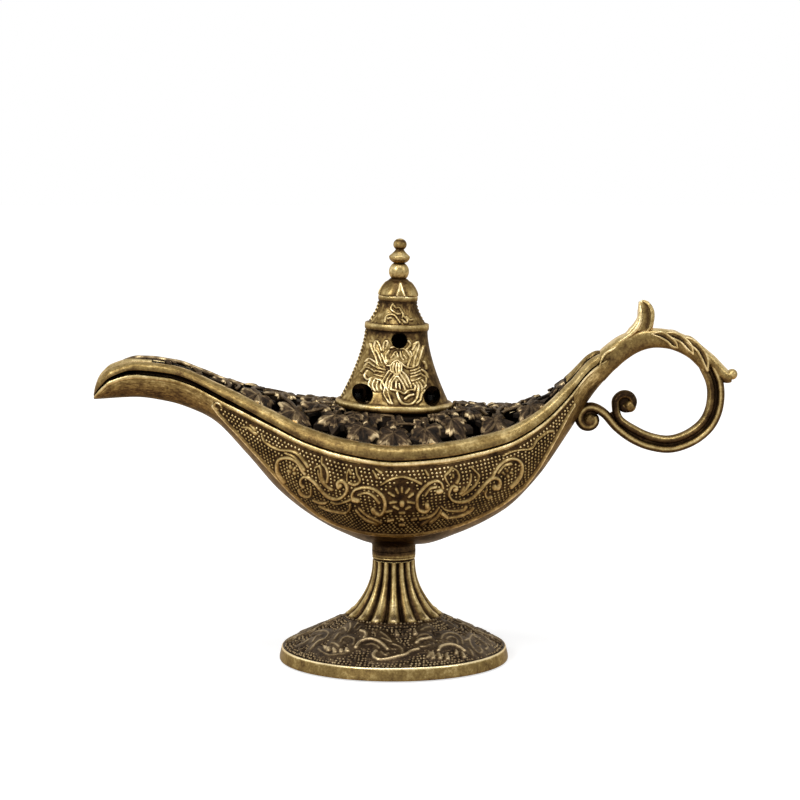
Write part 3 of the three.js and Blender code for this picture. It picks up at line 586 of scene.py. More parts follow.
def bowl_panel(points):
    """Main-view place of points of either side, and whether they are in the side's panel, under the bead."""
    x, y, z = np.moveaxis(points, -1, 0)
    u, v = project(x, -np.abs(y), z)
    border = np.interp(u, *np.array(LOWER_BORDER).T, left=0, right=0)
    return u, v, (z < seam(x) - bead_at(x) - 0.15) & (v < border)


def stipple(pitch):
    """Places and outward normals of rows of dots on the bowl's sides, parallel to the rim."""
    x = np.linspace(-62, 48, 700)
    angle = np.linspace(np.pi / 2, 0.2, 260)
    sheet = hull(x, angle[:, None])
    depth = lengths(sheet)
    n = normals(sheet, middle_line(x))
    columns = np.arange(len(x))
    places, outward = [], []
    for row in range(40):
        down = 0.95 + row * pitch * 0.87
        k = np.argmin(np.abs(depth - down), axis=0)
        line = sheet[k, columns]
        length = lengths(line)
        chosen = np.searchsorted(length, np.arange(pitch / 2 * (row % 2 + 1), length[-1], pitch))
        chosen = chosen[depth[-1, chosen] > down]
        places.append(line[chosen])
        outward.append(n[k[chosen], chosen])
    return np.concatenate(places), np.concatenate(outward)


def dots(piece, places, outward, radius, rise, wear):
    """Small domes at places, which stand on a surface with these normals."""
    sides = 7
    side = unit(np.cross(outward, [0.3, 0.9, 0.2]))
    spoke = spokes(side, np.cross(outward, side), sides)
    base = places[:, None] + radius * spoke - 0.05 * outward[:, None]
    middle = places[:, None] + 0.72 * radius * spoke + 0.7 * rise * outward[:, None]
    top = places[:, None] + rise * outward[:, None]
    points = np.concatenate([base, middle, top], 1)
    k = np.arange(sides)
    quads = np.stack([k, (k + 1) % sides, sides + (k + 1) % sides, sides + k], -1)
    fans = np.stack([sides + k, sides + (k + 1) % sides, np.full(sides, 2 * sides)], -1)
    step = (2 * sides + 1) * np.arange(len(places))[:, None, None]
    each = np.outer(np.broadcast_to(wear, len(places)), np.repeat([0.25, 1.0], [sides, sides + 1]))
    piece.add(points, [(quads + step).reshape(-1, 4), (fans + step).reshape(-1, 3)], each)


def bowl_sides(piece, x):
    """The hull's outside, with its ornament."""
    side = np.linspace(20, 90, 150)
    angle = np.radians(np.concatenate([-side[::-1], np.linspace(-20, 20, 22)[1:-1], side]))[:, None]
    sheet = hull(x, angle)
    middle = middle_line(x)
    n = normals(sheet, middle)
    u, v, inside = bowl_panel(sheet)
    height = engraved(u, v, BOWL_SCROLLS)
    # Plain metal is painted lighter towards the rim and darker towards the keel and the spout, as shade
    plain = 0.31 + 0.26 * np.abs(np.sin(angle)) ** 3 + 0.06 * mottle(u.shape, 4, 12)
    plain = plain - 0.08 * ramp(x, -40, -55)
    wear = np.where(inside, 0.15, plain) + height + 0.7 * np.clip(height - smooth(height, 3), -0.3, 1)
    sheet = sheet + n * (height - 0.12 * smooth(inside.astype(float), 2))[..., None]
    stations = first_twice(len(x))
    sheet = sheet[:, stations]
    sheet[:, 0, 1] = 0
    piece.grid(sheet, wear[:, stations], middle[stations])


def rim_bead(piece, x):
    """A bead along both rims, which sinks in at the handle. It has a painted highlight along its outer face
    that fades towards the spout, painted shade on its top, and at the mouth it is painted brighter all round.
    """
    turn = np.radians(np.linspace(-90, 90, 13))
    at = x[:, None]
    sunk = ramp(at, 52.5, 49.5)
    y = beam(at) - BEAD_PROUD - 0.1 + (BEAD_PROUD + 0.1) * sunk * np.cos(turn)
    z = seam(at) - bead_at(at) / 2 + bead_at(at) * 0.5 * np.sin(turn)
    # Painted highlight along the bead's outer face and at the mouth, painted shade on its top where a lamp
    # would glint
    painted_light_along = np.maximum(0.1, ramp(at, -58, -36))
    mouth = ramp(at, -57, -65)
    painted_shade_on_top = 0.9 * np.clip(np.sin(turn) - 0.4, 0, 1)
    wear = 0.5 + 0.34 * painted_light_along * np.cos(turn) - painted_shade_on_top * (1 - mouth) + 0.22 * mouth
    for way in (-1, 1):
        piece.grid(np.stack([at + 0 * y, way * y, z], -1), wear, middle_line(x)[:, None])


def panel_dots(piece):
    """Stippled ground, clear of the scrolls and the flower."""
    places, outward = stipple(DOT_PITCH)
    u, v, inside = bowl_panel(places)
    wider = [(np.add(width, 0.7), rise, group) for width, rise, group in BOWL_SCROLLS]
    clear = inside & (engraved(u, v, wider) < 0.02)
    clear &= np.hypot(u - FLOWER[0], v - FLOWER[1]) > FLOWER_RADIUS
    clear &= places[:, 2] < seam(places[:, 0]) - bead_at(places[:, 0]) - 0.4
    places, outward = places[clear], outward[clear]
    # Painted shade: dots further below the rim are darker, towards the keel
    dots_painted_darker_to_keel = 0.79 - 0.34 * ramp(seam(places[:, 0]) - places[:, 2], 3, 17)
    for way in (1, -1):
        dots(piece, places * [1, way, 1], outward * [1, way, 1], DOT_RADIUS, DOT_RISE, dots_painted_darker_to_keel)


def bowl_inside(centre, normal):
    """Whether a face of the solid is on the bowl's inside or its rim."""
    x, y, z = centre.T
    angle = np.arccos(np.clip((seam(x) - z) / (seam(x) - keel(x)), 0, 1))
    deep = np.abs(y) < np.abs(hull(x, angle)[:, 1]) - 0.8
    rim = (normal[:, 2] > 0.3) & (z > seam(x) - 0.3)
    return rim | (deep & (z > keel(x) + 0.5))


def bowl_piece():
    piece = Piece()
    x = hull_stations(620)
    bowl_sides(piece, x)
    rim_bead(piece, x)
    panel_dots(piece)
    piece.cad_faces("bowl", bowl_inside, 0.08, smooth_over=True)
    # The boss that the foot's collar meets
    boss = lathe(spline(BOSS, 40), 96)
    piece.grid(boss, 0.06, boss * [0, 0, 1] + [0, 0, 1], wrap=True)
    piece.build("bowl_body", "base", "antique_brass", "bowl")


# Lid: a smooth border and leaves over an openwork vault

ANY_TURN = 6.3  # upper limit of a random turn, in radians
LOBES = [0, 60, -60, 120, -120]
# Across the border, from the slot's floor round to its inner edge: the slot's floor is painted black as
# shade, and the lower lip and the rounded top carry painted highlights
BAND_WEAR_AND_PAINTED_LIGHT = [0.0, 0.0, 0.55, 0.36, *np.linspace(0.42, 0.55, 15), 0.7, 0.9, 1.0, 1.0, 0.9, 0.5, 0.2]


def lid_lines(x):
    """Half width, border width, crest and shoulder of the lid's section."""
    rounding = np.maximum(0.15, np.minimum(tip(x + SPOUT_REACH, NOSE / 2), tip(LID_TO - x, LID_TIP)))
    half = beam(x) * np.where(x > 0, rounding, 1)
    band = np.minimum(BAND_WIDTH, half * 0.55)
    rise = dome(x) * rounding
    return half, band, rise, np.minimum(BAND_HEIGHT * rounding, rise * 0.8)


def lid_top(x, y):
    """Height of the lid's outside."""
    half, band, rise, shoulder = lid_lines(x)
    flank = half - band
    outer = np.clip((np.abs(y) - flank) / band, 0, 1)
    vault = shoulder + (rise - shoulder) * (1 - np.clip(np.abs(y) / flank, 0, 1) ** VAULT_POWER)
    border = shoulder * np.sqrt(1 - outer**2)
    return seam(x) + SEAT_GAP + np.where(np.abs(y) > flank, border, vault)


def openwork_half(x):
    return np.maximum(0.6, beam(x) - BAND_WIDTH)


def within_border(x, y, past):
    """y kept to the openwork and a little past its edge."""
    limit = openwork_half(x) + past
    return np.clip(y, -limit, limit)


def band_piece():
    piece = Piece()
    tail = LID_TO - np.array([0, 0.08, 0.2, 0.35, 0.55, 0.8, 1.15, 1.6, 2.2, 2.9])
    x = np.unique(np.concatenate([hull_stations(420), tail]))
    x = x[x <= LID_TO]
    at = x[:, None]
    half, band, _, shoulder = lid_lines(at)
    flank = half - band
    base = seam(at) + SEAT_GAP
    middle = middle_line(x)[:, None]
    # Along the spout the border stands off the bowl, over a deep slot.
    # The slot is closed in the middle of the mouth.
    share = ramp(at, -22, -46)
    slot = 0.75 * share**2 * (3 - 2 * share) * np.maximum(0.1, ramp(at, -SPOUT_REACH, 9 - SPOUT_REACH))
    mouth = at < -66
    back = np.where(mouth, 0.97 * half, np.minimum(0.5 + 0.9 * share, 0.3 * half))
    lowest = base - np.where(mouth, 0.8, 0.26)
    angle = np.radians(np.linspace(0, 90, 22))
    y = flank + band * np.cos(angle) ** 0.8
    z = base + slot + (shoulder - slot) * np.sin(angle) ** 0.8 + 0.03
    y = np.concatenate([y[:, :1] - back, y[:, :1] - back, y, y[:, -1:] - 0.15, y[:, -1:] - 0.25], 1)
    z = np.concatenate([lowest, base + slot + 0.02, z, z[:, -1:] - 0.3, z[:, -1:] - 1.2], 1)
    stations = first_twice(len(x))
    # Painted light along the border, darkest in the middle and lighter towards the handle
    painted_light_along = np.interp(at, [-60, -45, -30, 0, 15, 30], [-0.06, -0.06, -0.04, -0.09, -0.02, 0.07])
    for way in (-1, 1):
        sheet = np.stack([at + 0 * y, way * y, z], -1)[stations]
        sheet[0, :, 1] = 0
        piece.grid(sheet, (BAND_WEAR_AND_PAINTED_LIGHT + painted_light_along)[stations], middle[stations])
    # Closed vault over the spout, and veined at the handle
    across = np.linspace(-1, 1, 61)
    for chosen, veined in ((x < -CLOSED_FROM * SPOUT_REACH, 0), (x > CLOSED_FROM * TAIL_REACH, 1)):
        y = flank[chosen] * across
        xs = at[chosen] + 0 * y
        vein = veined * np.abs(np.sin(1.5 * xs + 2.2 * np.abs(y))) * ramp(xs, LID_TO - 1.5, LID_TO - 3.5)
        sheet = np.stack([xs, y, lid_top(xs, y * 0.999) + 0.03 + 0.4 * vein], -1)
        wear = 0.6 - 0.5 * veined + (0.2 - 0.12 * veined) * (1 - across**2) + 0.5 * vein
        piece.grid(sheet, wear, middle[chosen])
    piece.build("lid_band", "lid", "antique_brass")


def arc_spread(way, r):
    """Half the angle that an arc of leaves takes up at a radius."""
    spread = 0.0
    while r * np.sin(spread) < openwork_half(r * np.cos(way + spread)) - LEAF_SIZE * 0.55:
        spread += np.radians(1)
    return spread


def leaf_places():
    """Leaves as (x, y, size, turn): a ring round the chimney, and arcs beyond it."""
    first = SEAT_RADIUS + 0.55 * LEAF_PITCH
    places = []

    def place(r, angle, k):
        x, y = r * np.cos(angle), r * np.sin(angle)
        size = min(LEAF_SIZE, max(1.6, openwork_half(x) * 0.95))
        places.append((x, y, size, angle + np.radians(40 if k % 2 else -25)))

    ring_count = 4 * round(np.pi * first / (2 * LEAF_PITCH))
    for k in range(ring_count):
        place(first, 2 * np.pi * k / ring_count, k)
    for way, end in ((np.pi, 0.89 * SPOUT_REACH), (0.0, 0.84 * TAIL_REACH)):
        for r in np.arange(first + ARC_PITCH, end, ARC_PITCH):
            spread = arc_spread(way, r)
            count = max(1, round(2 * spread * r / LEAF_PITCH))
            for k in range(count):
                place(r, way + (0 if count == 1 else spread * (2 * k / (count - 1) - 1)), k)
    return places


leaf_edge = curve([
    (0, 1.08), (18, 0.93), (32, 0.76), (44, 0.88), (60, 1.0), (78, 0.86), (94, 0.72), (108, 0.8), (122, 0.88),
    (145, 0.7), (165, 0.52), (180, 0.3),
])


def on_vault(x, y):
    """Level that the leaves lie on: the lid's outside, or the chimney's seat within it."""
    seat = CHIMNEY_LEVEL - 0.35 - x * np.sin(CHIMNEY_LEAN)
    return np.where(np.hypot(x, y) < SEAT_RADIUS, np.maximum(seat, lid_top(x, y) - 0.6), lid_top(x, y))


def leaf(piece, x, y, size, turn, chance):
    """A lobed, toothed and veined leaf that lies on the vault, with its edges waved up and down."""
    angle = np.linspace(-180, 180, 140, endpoint=False)
    share = np.linspace(0.02, 1, 15)[:, None]
    heart = chance.uniform(-8, 8, 5) + LOBES
    lobe = np.min(np.abs(angle[:, None] - heart), 1)
    uneven = 1 + 0.14 * np.sin(np.radians(2 * angle) + chance.uniform(0, ANY_TURN))
    teeth = 0.17 * ((angle / 18) % 1)
    r = size * (leaf_edge(np.abs(angle)) * uneven - teeth) * share
    vein = hump(r * np.radians(lobe), 0, 0.24) * (1 - share**8)
    side_vein = hump(np.sin(8 * share - 0.09 * lobe), 0, 0.28) * ramp(lobe, 0, 14) * share * (1 - share**5)
    wave = np.sin(np.radians(3 * angle) + chance.uniform(0, ANY_TURN))
    wave = wave + 0.6 * np.sin(np.radians(5 * angle) + chance.uniform(0, ANY_TURN))
    swell = np.sin(np.pi * ramp(lobe, 0, 32)) * np.sin(np.pi * share)
    height = 0.4 * swell + 0.26 * vein + 0.14 * side_vein + 0.55 * wave * share**2 - 0.9 * share**8 - 0.05
    px = x + r * np.cos(np.radians(angle) + turn)
    py = within_border(px, y + r * np.sin(np.radians(angle) + turn), 0.5)
    outward = np.maximum(1, (SEAT_RADIUS - 1) / np.maximum(np.hypot(px, py), 1e-6))
    px, py = px * outward, py * outward
    # Leaves on the spout are flatter, and they are painted brighter below, as light
    on_spout = ramp(x, -36, -50)
    height = height * min(1, size / 4) * (1 - 0.45 * on_spout) + 0.1 * on_spout
    sheet = np.stack([px, py, on_vault(px, py) + height], -1)
    # Veins are brighter and the edge is lighter where it waves up; a painted highlight runs just inside the
    # edge, and leaves towards the spout are painted lighter, as light from that side
    wear = chance.uniform(-0.02, 0.12) + 0.3 * vein + 0.24 * side_vein + 0.06 * swell
    wear = wear + 0.6 * hump(share, 0.9, 0.06) + 0.24 * wave * share
    wear = wear + 0.36 * on_spout + 0.12 * ramp(x, -14, -24)
    piece.grid(sheet, wear, [x, y, lid_top(x, y) - 6], wrap=True)


def tube(piece, line, radius, wear):
    """A round stem along a line."""
    along = unit(np.gradient(line, axis=0))
    side = unit(np.cross(along, [0.02, 0.03, 1.0]))
    ring = spokes(side, np.cross(side, along), 8)
    piece.grid(line[:, None] + radius * ring, wear, line[:, None], wrap=True)


def leaf_on_stalk(piece, x, y, size, turn, chance):
    leaf(piece, x, y, size * chance.uniform(0.74, 0.9), turn + chance.uniform(-0.5, 0.5), chance)
    stalk = np.linspace(0.4, 1.3, 14)
    bend = turn + np.pi + chance.uniform(-1.2, 1.2) * (stalk - 0.4)
    px = x + size * stalk * np.cos(bend)
    py = within_border(px, y + size * stalk * np.sin(bend), 0.3)
    tube(piece, np.stack([px, py, on_vault(px, py) - 0.1], -1), 0.4, 0.4)


def arc_stems(piece):
    """Wavy stems along the arcs of leaves."""
    share = np.linspace(-1, 1, 60)
    for way, end in ((np.pi, 0.8 * SPOUT_REACH), (0.0, 0.86 * TAIL_REACH)):
        for r in np.arange(SEAT_RADIUS + 1.47 * LEAF_PITCH, end, ARC_PITCH):
            angle = way + (arc_spread(way, r) + LEAF_SIZE * 0.9 / r) * share
            wave = r + 0.7 * np.sin(7 * (1 + share))
            px = wave * np.cos(angle)
            py = within_border(px, wave * np.sin(angle), 0.3)
            tube(piece, np.stack([px, py, lid_top(px, py) - 0.2], -1), 0.55, 0.3)


def spout_crest(piece):
    """Dark ground that runs out over the closed spout, with a stem along its crest."""
    start = -0.9 * SPOUT_REACH
    x = np.linspace(start, -0.78 * SPOUT_REACH, 40)[:, None]
    y = openwork_half(x) * np.sqrt(ramp(x, start, start + 5)) * np.linspace(-1.0, 1.0, 21)
    sheet = np.stack([x + 0 * y, y, lid_top(x, y) + 0.08], -1)
    piece.grid(sheet, 0.16, sheet - [0, 0, 6])
    x = np.linspace(start, -0.5 * SPOUT_REACH, 80)
    y = 0.45 * np.sin(0.9 * x)
    rise = np.interp(np.linspace(0, 1, 80), [0, 0.12, 0.35, 1], [-0.5, 0.15, 0.2, -0.1])
    line = np.stack([x, y, lid_top(x, y) + rise], -1)
    tube(piece, line, 0.55, 0.66 + 0.16 * np.sin(2.1 * x)[:, None])


def web_faces(downward):
    """Chooses the solid's faces inside the border that face down, or the others."""
    def chosen(centre, normal):
        x, y = centre[:, 0], np.abs(centre[:, 1])
        outer = (centre[:, 2] > lid_top(x, y) - 0.45) & (normal[:, 2] > -0.1)
        closed = (x < -CLOSED_FROM * SPOUT_REACH) | (x > 0.84 * TAIL_REACH)
        border = (y > openwork_half(x) - 0.45) | closed
        side = (y > openwork_half(x) + 1.5) & (normal[:, 2] > -0.3)
        return ~(border & outer) & ~side & ((normal[:, 2] < -0.3) == downward)

    return chosen


def lid_piece():
    piece = Piece()
    chance = np.random.default_rng(7)
    for place in leaf_places():
        leaf_on_stalk(piece, *place, chance)
    # Small leaves against the chimney's flange
    for angle in np.radians(np.arange(0, 360, 18)):
        angle, r = angle + chance.uniform(-0.1, 0.1), chance.uniform(16.4, 18.2)
        x, y = r * np.cos(angle), r * np.sin(angle)
        leaf(piece, x, y, chance.uniform(2.2, 3.6), chance.uniform(0, ANY_TURN), chance)
    arc_stems(piece)
    spout_crest(piece)
    piece.cad_faces("lid", web_faces(True), 0.26)
    piece.cad_faces("lid", web_faces(False), 0.03)
    # The solid's web lies a little lower, under the leaves
    web = piece.points[-1]
    x, y = web[:, 0], np.abs(web[:, 1])
    on_top = (web[:, 2] > lid_top(x, y) - 0.9) & (y < openwork_half(x) - 0.2)
    web[on_top, 2] -= 0.5
    piece.build("lid_leaves", "lid", "dark_brass", "lid")


# Chimney: a bell with a peony on its front, rope edges, a belt, a hood and a petal crown

PEONY = [
    # Broad petals
    (4.2, 0.26, strokes("""
        375,347 380,363 / 386,345 385,361 / 369,363 383,374 / 368,372 380,378 / 373,382 380,388 / 415,347
        411,365 / 421,350 417,364 / 407,346 405,360 / 414,369 423,380 / 414,378 421,387 / 396,365 396,378 /
        389,376 387,398 / 403,377 407,390 / 393,357 402,358
    """)),
    # Raised lines on them, with dark lines left between
    (1.3, 0.55, strokes("""
        371,344 373,350 376,357 378,363 / 376,352 375,346 377,341 380,345 382,351 / 377,351 380,357 382,363
        / 384,351 384,345 386,341 388,343 386,349 / 382,354 384,359 386,364 / 389,351 386,356 387,362 /
        366,362 370,359 375,362 379,366 / 365,367 369,363 374,366 379,369 / 362,372 366,368 371,369 375,372
        / 368,371 365,376 368,380 372,378 / 377,367 381,369 385,370 / 376,371 380,372 384,373 / 375,375
        379,376 383,377 / 376,379 379,380 382,381 / 371,380 369,385 372,390 / 375,380 373,386 375,391 /
        378,382 377,387 378,391 / 382,382 381,387 382,390 / 407,368 409,362 411,356 410,352 / 413,367
        414,360 416,353 418,346 417,342 414,344 / 417,365 419,358 421,351 423,346 / 401,348 405,350 408,354
        410,358 / 407,349 410,345 408,341 / 412,350 414,346 416,343 / 391,348 395,347 398,348 / 411,371
        415,370 419,368 / 411,374 415,373 419,371 / 411,377 415,376 420,374 / 412,381 416,380 420,378 /
        421,370 425,373 427,378 / 421,375 425,378 425,383 / 422,381 425,386 421,390 / 413,384 415,387
        414,391 / 416,383 418,387 418,391 / 419,383 421,387 421,391 / 423,362 425,365 426,369
    """)),
    # Bud and its skirt
    (1.15, 0.55, strokes("""
        391,371 391,366 394,362 398,361 401,365 401,371 397,375 392,372 / 394,364 393,369 394,373 / 397,363
        396,369 397,374 / 399,364 399,369 399,373 / 387,366 390,366 / 401,363 404,366 408,368 412,368
        416,366 / 389,371 386,376 383,382 385,388 384,394 387,400 390,404 / 391,374 388,379 386,385 388,391
        / 394,376 390,382 389,388 / 396,377 392,383 391,389 / 398,377 402,383 405,390 / 400,374 404,380
        408,388 / 401,371 406,376 409,382 411,388 / 396,382 396,388 / 399,384 400,389 / 391,390 396,391
        400,392 404,394 408,391 413,390 / 388,393 390,399 392,404 / 393,355 396,352 398,357 / 391,358
        394,355 / 400,352 401,357 403,360 / 404,356 406,359
    """)),
    (1.6, 0.6, strokes("""
        397,393 399,399 403,404 409,405 414,402 417,397 418,391 / 424,391 421,395 420,400 417,403 / 405,399
        409,396 413,395
    """)),
    # Bow on the hood
    (1.2, 0.45, strokes("""
        385,323 386,318 389,315 393,315 396,317 398,320 400,323 / 388,319 391,318 / 393,304 391,309 394,312
        397,314 400,314 / 393,304 396,308 399,308 401,311 403,315 402,318 / 404,317 407,320 407,324 /
        406,317 409,320 412,320 / 402,320 405,323
    """)),
]
VENTS = [(-0.1, 18.0, 2.05), (-9.0, 4.25, 2.45), (8.7, 4.2, 2.4)]  # across, up and radius
ROPE_EDGES = (-84, 104)  # degrees from the front


def flared(z, bottom, top, foot_radius, top_radius):
    return top_radius + (foot_radius - top_radius) * (1 - ramp(z, bottom, top)) ** 1.5


def bell_line(z):
    return flared(z, FLANGE_HEIGHT, BELL_TOP, BELL_FOOT_RADIUS, BELL_TOP_RADIUS)


def hood_line(z):
    return flared(z, HOOD_BOTTOM, CROWN_BAND, HOOD_FOOT_RADIUS, HOOD_TOP_RADIUS)


def moulding(radius, level, proud, half, power, turn):
    """Outline of a rounded band."""
    angle = np.radians(np.linspace(-turn, turn, 13))
    return np.stack([radius + proud * np.cos(angle) ** power, level + half * np.sin(angle)], -1)


def on_chimney(points):
    """From the chimney's own frame to the lamp's."""
    x, y, z = np.moveaxis(points, -1, 0)
    x, y = turned(x, y, CHIMNEY_TURN)
    x, z = turned(x, z, -CHIMNEY_LEAN)
    return np.stack([x, y, z + CHIMNEY_LEVEL], -1)


def off_chimney(points):
    """From the lamp's frame to the chimney's own."""
    x, y, z = np.moveaxis(points, -1, 0)
    x, z = turned(x, z - CHIMNEY_LEVEL, CHIMNEY_LEAN)
    x, y = turned(x, y, -CHIMNEY_TURN)
    return np.stack([x, y, z], -1)


def chimney_profile():
    bell = np.linspace(FLANGE_HEIGHT, BELT_BOTTOM, 132)[1:]
    hood = np.linspace(HOOD_BOTTOM, CROWN_BAND_BOTTOM, 42)
    crown = np.linspace(0, 1, 34)
    crown_line = CROWN_TOP_RADIUS + (HOOD_TOP_RADIUS - CROWN_TOP_RADIUS) * (1 - crown**1.6)
    return np.concatenate([
        [(13.2, 0.0), (14.4, 0.0)],
        moulding(14.55, 0.95, 0.55, 0.92, 1, 85),
        np.stack([bell_line(bell), bell], -1),
        moulding(7.7, 20.9, 0.55, 0.88, 0.3, 80),
        np.stack([hood_line(hood), hood], -1),
        moulding(4.55, 28.1, 0.52, 0.78, 0.4, 80),
        np.stack([crown_line, CROWN_BOTTOM + crown * (CROWN_TOP - CROWN_BOTTOM)], -1),
        [(1.9, CROWN_TOP)],
    ])


def rope_edges(level, theta, radius):
    """Height of a rope down each side, and its twist."""
    off_edge = np.radians(theta - np.where(theta < 0, *ROPE_EDGES)) * radius
    twist = np.cos(np.pi * (level * 1.05 + off_edge * 0.5)) ** 2
    return 0.42 * np.sqrt(np.clip(1 - (off_edge / 0.8) ** 2, 0, 1)) * (0.1 + 0.9 * twist), twist


def crown_petals(level, theta, radius):
    """Height and wear of four smooth lobes on the crown, with a narrow ridged tongue between each two. The
    lobes carry a painted highlight in their middles that fades towards the top.
    """
    up = ramp(level, CROWN_BOTTOM, CROWN_TOP - 0.5)
    off_tongue = np.abs((theta + 43) % 90 - 45)
    tongue_half = 12.5 * (1 - up)
    beside_ridge = np.radians(off_tongue - tongue_half) * radius
    ridge = 0.3 * hump(beside_ridge, 0, 0.28) * (up < 0.99)
    lobe = 0.3 * np.sqrt(np.clip(1 - ((off_tongue - 45) / (45 - tongue_half)) ** 2, 0, 1))
    tongue = beside_ridge < 0
    height = np.maximum(ridge, lobe + 0.08 * tongue) * np.clip((1.02 - up) * 6, 0, 1)
    return height, 0.06 + 7.5 * lobe**2 * (1 - 0.9 * up**1.5) + 0.4 * tongue + 1.9 * ridge


def chimney_relief(sheet):
    """Height and wear, with painted light and shade, of the chimney's outside. The drawn front is repeated on
    the back.
    """
    level = sheet[..., 2]
    radius = np.hypot(sheet[..., 0], sheet[..., 1])
    theta = np.degrees(np.arctan2(sheet[..., 0], -sheet[..., 1]))
    on_bell = (level > FLANGE_HEIGHT + 0.2) & (level < BELT_BOTTOM)
    on_panel = on_bell | ((level > HOOD_BOTTOM + 0.3) & (level < CROWN_BAND + 0.3))
    crown = level > CROWN_BOTTOM - 0.05
    u, v = project(*np.moveaxis(on_chimney(repeated_front(sheet)), -1, 0))
    rope, twist = rope_edges(level, theta, radius)
    petals, petal_wear = crown_petals(level, theta, radius)
    height = np.where(crown, petals, np.maximum(engraved(u, v, PEONY), rope) * on_panel)
    rim = height - smooth(height, 6)
    wear = np.where(on_panel, 0.41, 0.52) + 0.5 * height
    wear = wear + 0.9 * np.clip(rim, 0, 0.4) + 3.6 * np.clip(rim, -0.2, 0)
    # Painted light and shade: a little lighter towards the front left, and front and back painted darker
    # towards their right
    facing = np.where(np.abs(theta) > 90, theta - 180 * np.sign(theta), theta)
    wear = wear + 0.04 * np.cos(np.radians(theta + 50)) - 0.26 * ramp(facing, 30, 70)
    wear = wear + 0.07 * mottle(wear.shape, 5, 30) + 0.05 * mottle(wear.shape, 6, 6)
    # Painted shade just below the belt and the crown band
    for line, reach in ((BELT_BOTTOM, 1.6), (CROWN_BAND_BOTTOM, 2.2)):
        wear = wear - 0.26 * hump(level, line, reach) * (level < line)
    wear = np.where(rope * on_panel > 0, 0.95 * twist - 0.1, wear)
    wear = np.where(crown, petal_wear, wear)
    # The flange and the belts have a painted highlight along their upper edge
    belts = ((0, FLANGE_HEIGHT), (BELT_BOTTOM, HOOD_BOTTOM), (CROWN_BAND_BOTTOM, CROWN_BOTTOM))
    for low_edge, high_edge in belts:
        banded = (level > low_edge) & (level < high_edge)
        up = (level - low_edge) / (high_edge - low_edge)
        wear = np.where(banded, 0.42 + 0.55 * np.clip(up * 1.6 - 0.6, 0, 1), wear)
    # Painted shade in the creases where the bands meet
    for line in (FLANGE_HEIGHT, BELT_BOTTOM, HOOD_BOTTOM, CROWN_BAND_BOTTOM):
        wear = wear - 0.4 * hump(level, line, 0.28)
    return height, wear


def vent(piece, sheet, across, up, radius):
    """Draws the points inside a vent out to its edge and adds its wall. Also gives which points these are."""
    dx, dz = sheet[..., 0] - across, sheet[..., 2] - up
    away = np.maximum(np.hypot(dx, dz), 1e-6)
    hole = (away < radius) & (sheet[..., 1] < 0)
    x, z = across + dx / away * radius, up + dz / away * radius
    y = -np.sqrt(np.maximum(bell_line(z) ** 2 - x**2, 0))
    sheet = np.where(hole[..., None], np.stack([x, y, z], -1), sheet)
    angle = full_turn(48)
    x, z = across + radius * np.cos(angle), up + radius * np.sin(angle)
    depth = np.linspace(-0.02, CHIMNEY_WALL, 5)[:, None]
    y = -np.sqrt(np.maximum((bell_line(z) - depth) ** 2 - x**2, 0))
    wall = np.stack([x + 0 * y, y, z + 0 * y], -1)
    outside = wall + 10 * (wall - [across, 0, up]) * [1, 0, 1]
    piece.grid(on_chimney(wall), 0.05, on_chimney(outside), wrap=True)
    return sheet, hole


def chimney_inside(centre, normal):
    """Whether a face of the solid is on the chimney's inside."""
    x, y, z = off_chimney(centre).T
    outer = np.where(z < BELL_TOP, bell_line(z), np.where(z < CROWN_BAND, hood_line(z), 4.3))
    return (np.hypot(x, y) < outer - 0.9) & (z < CROWN_BAND + 0.9)


def chimney_piece():
    piece = Piece()
    sheet = lathe(chimney_profile(), 384)
    axis = sheet * [0, 0, 1]
    height, wear = chimney_relief(sheet)
    sheet = sheet + normals(sheet, axis, wrap=True) * height[..., None]
    keep = np.ones(sheet.shape[:2], bool)
    for across, up, radius in VENTS:
        sheet, hole = vent(piece, sheet, across, up, radius)
        keep &= ~hole
    piece.grid(on_chimney(sheet), wear, on_chimney(axis), wrap=True, keep=keep)
    piece.cad_faces("chimney", chimney_inside, 0.0)
    piece.build("chimney_bell", "lid", "antique_brass", "chimney")


# Finial: a bead, a disc and a bead, in the chimney's frame

FINIAL_DISC = [
    (1.3, 37.0), (1.9, 37.3), (2.45, 37.85), (2.66, 38.4), (2.64, 38.75), (2.3, 39.1), (1.75, 39.6),
    (1.3, 40.1), (1.05, 40.5),
]


def bead(radius, half, level, first, last):
    """Outline of a bead between two angles in degrees."""
    angle = np.radians(np.linspace(first, last, 22))
    return np.stack([np.maximum(radius * np.cos(angle), 0.01), level + half * np.sin(angle)], -1)


def finial_piece():
    piece = Piece()
    profile = np.concatenate([
        [(1.5, 32.0), (1.5, 32.6)],
        bead(2.58, 2.58, 34.85, -52, 58),
        spline(FINIAL_DISC, 36),
        bead(1.72, 1.55, 41.75, -50, 90),
    ])
    sheet = lathe(profile, 64)
    pinch = hump(profile[:, :1], 1.2, 0.5)
    pinch[-6:] = 0
    piece.grid(on_chimney(sheet), 0.66 - 0.5 * pinch, on_chimney(sheet * [0, 0, 1]), wrap=True)
    piece.cad_faces("finial", lambda centre, normal: off_chimney(centre)[:, 2] < CROWN_TOP - 0.1, 0.2)
    piece.build("finial_knob", "lid", "antique_brass", "finial")


# Foot: a fluted stem on an embossed cone with a plain rim

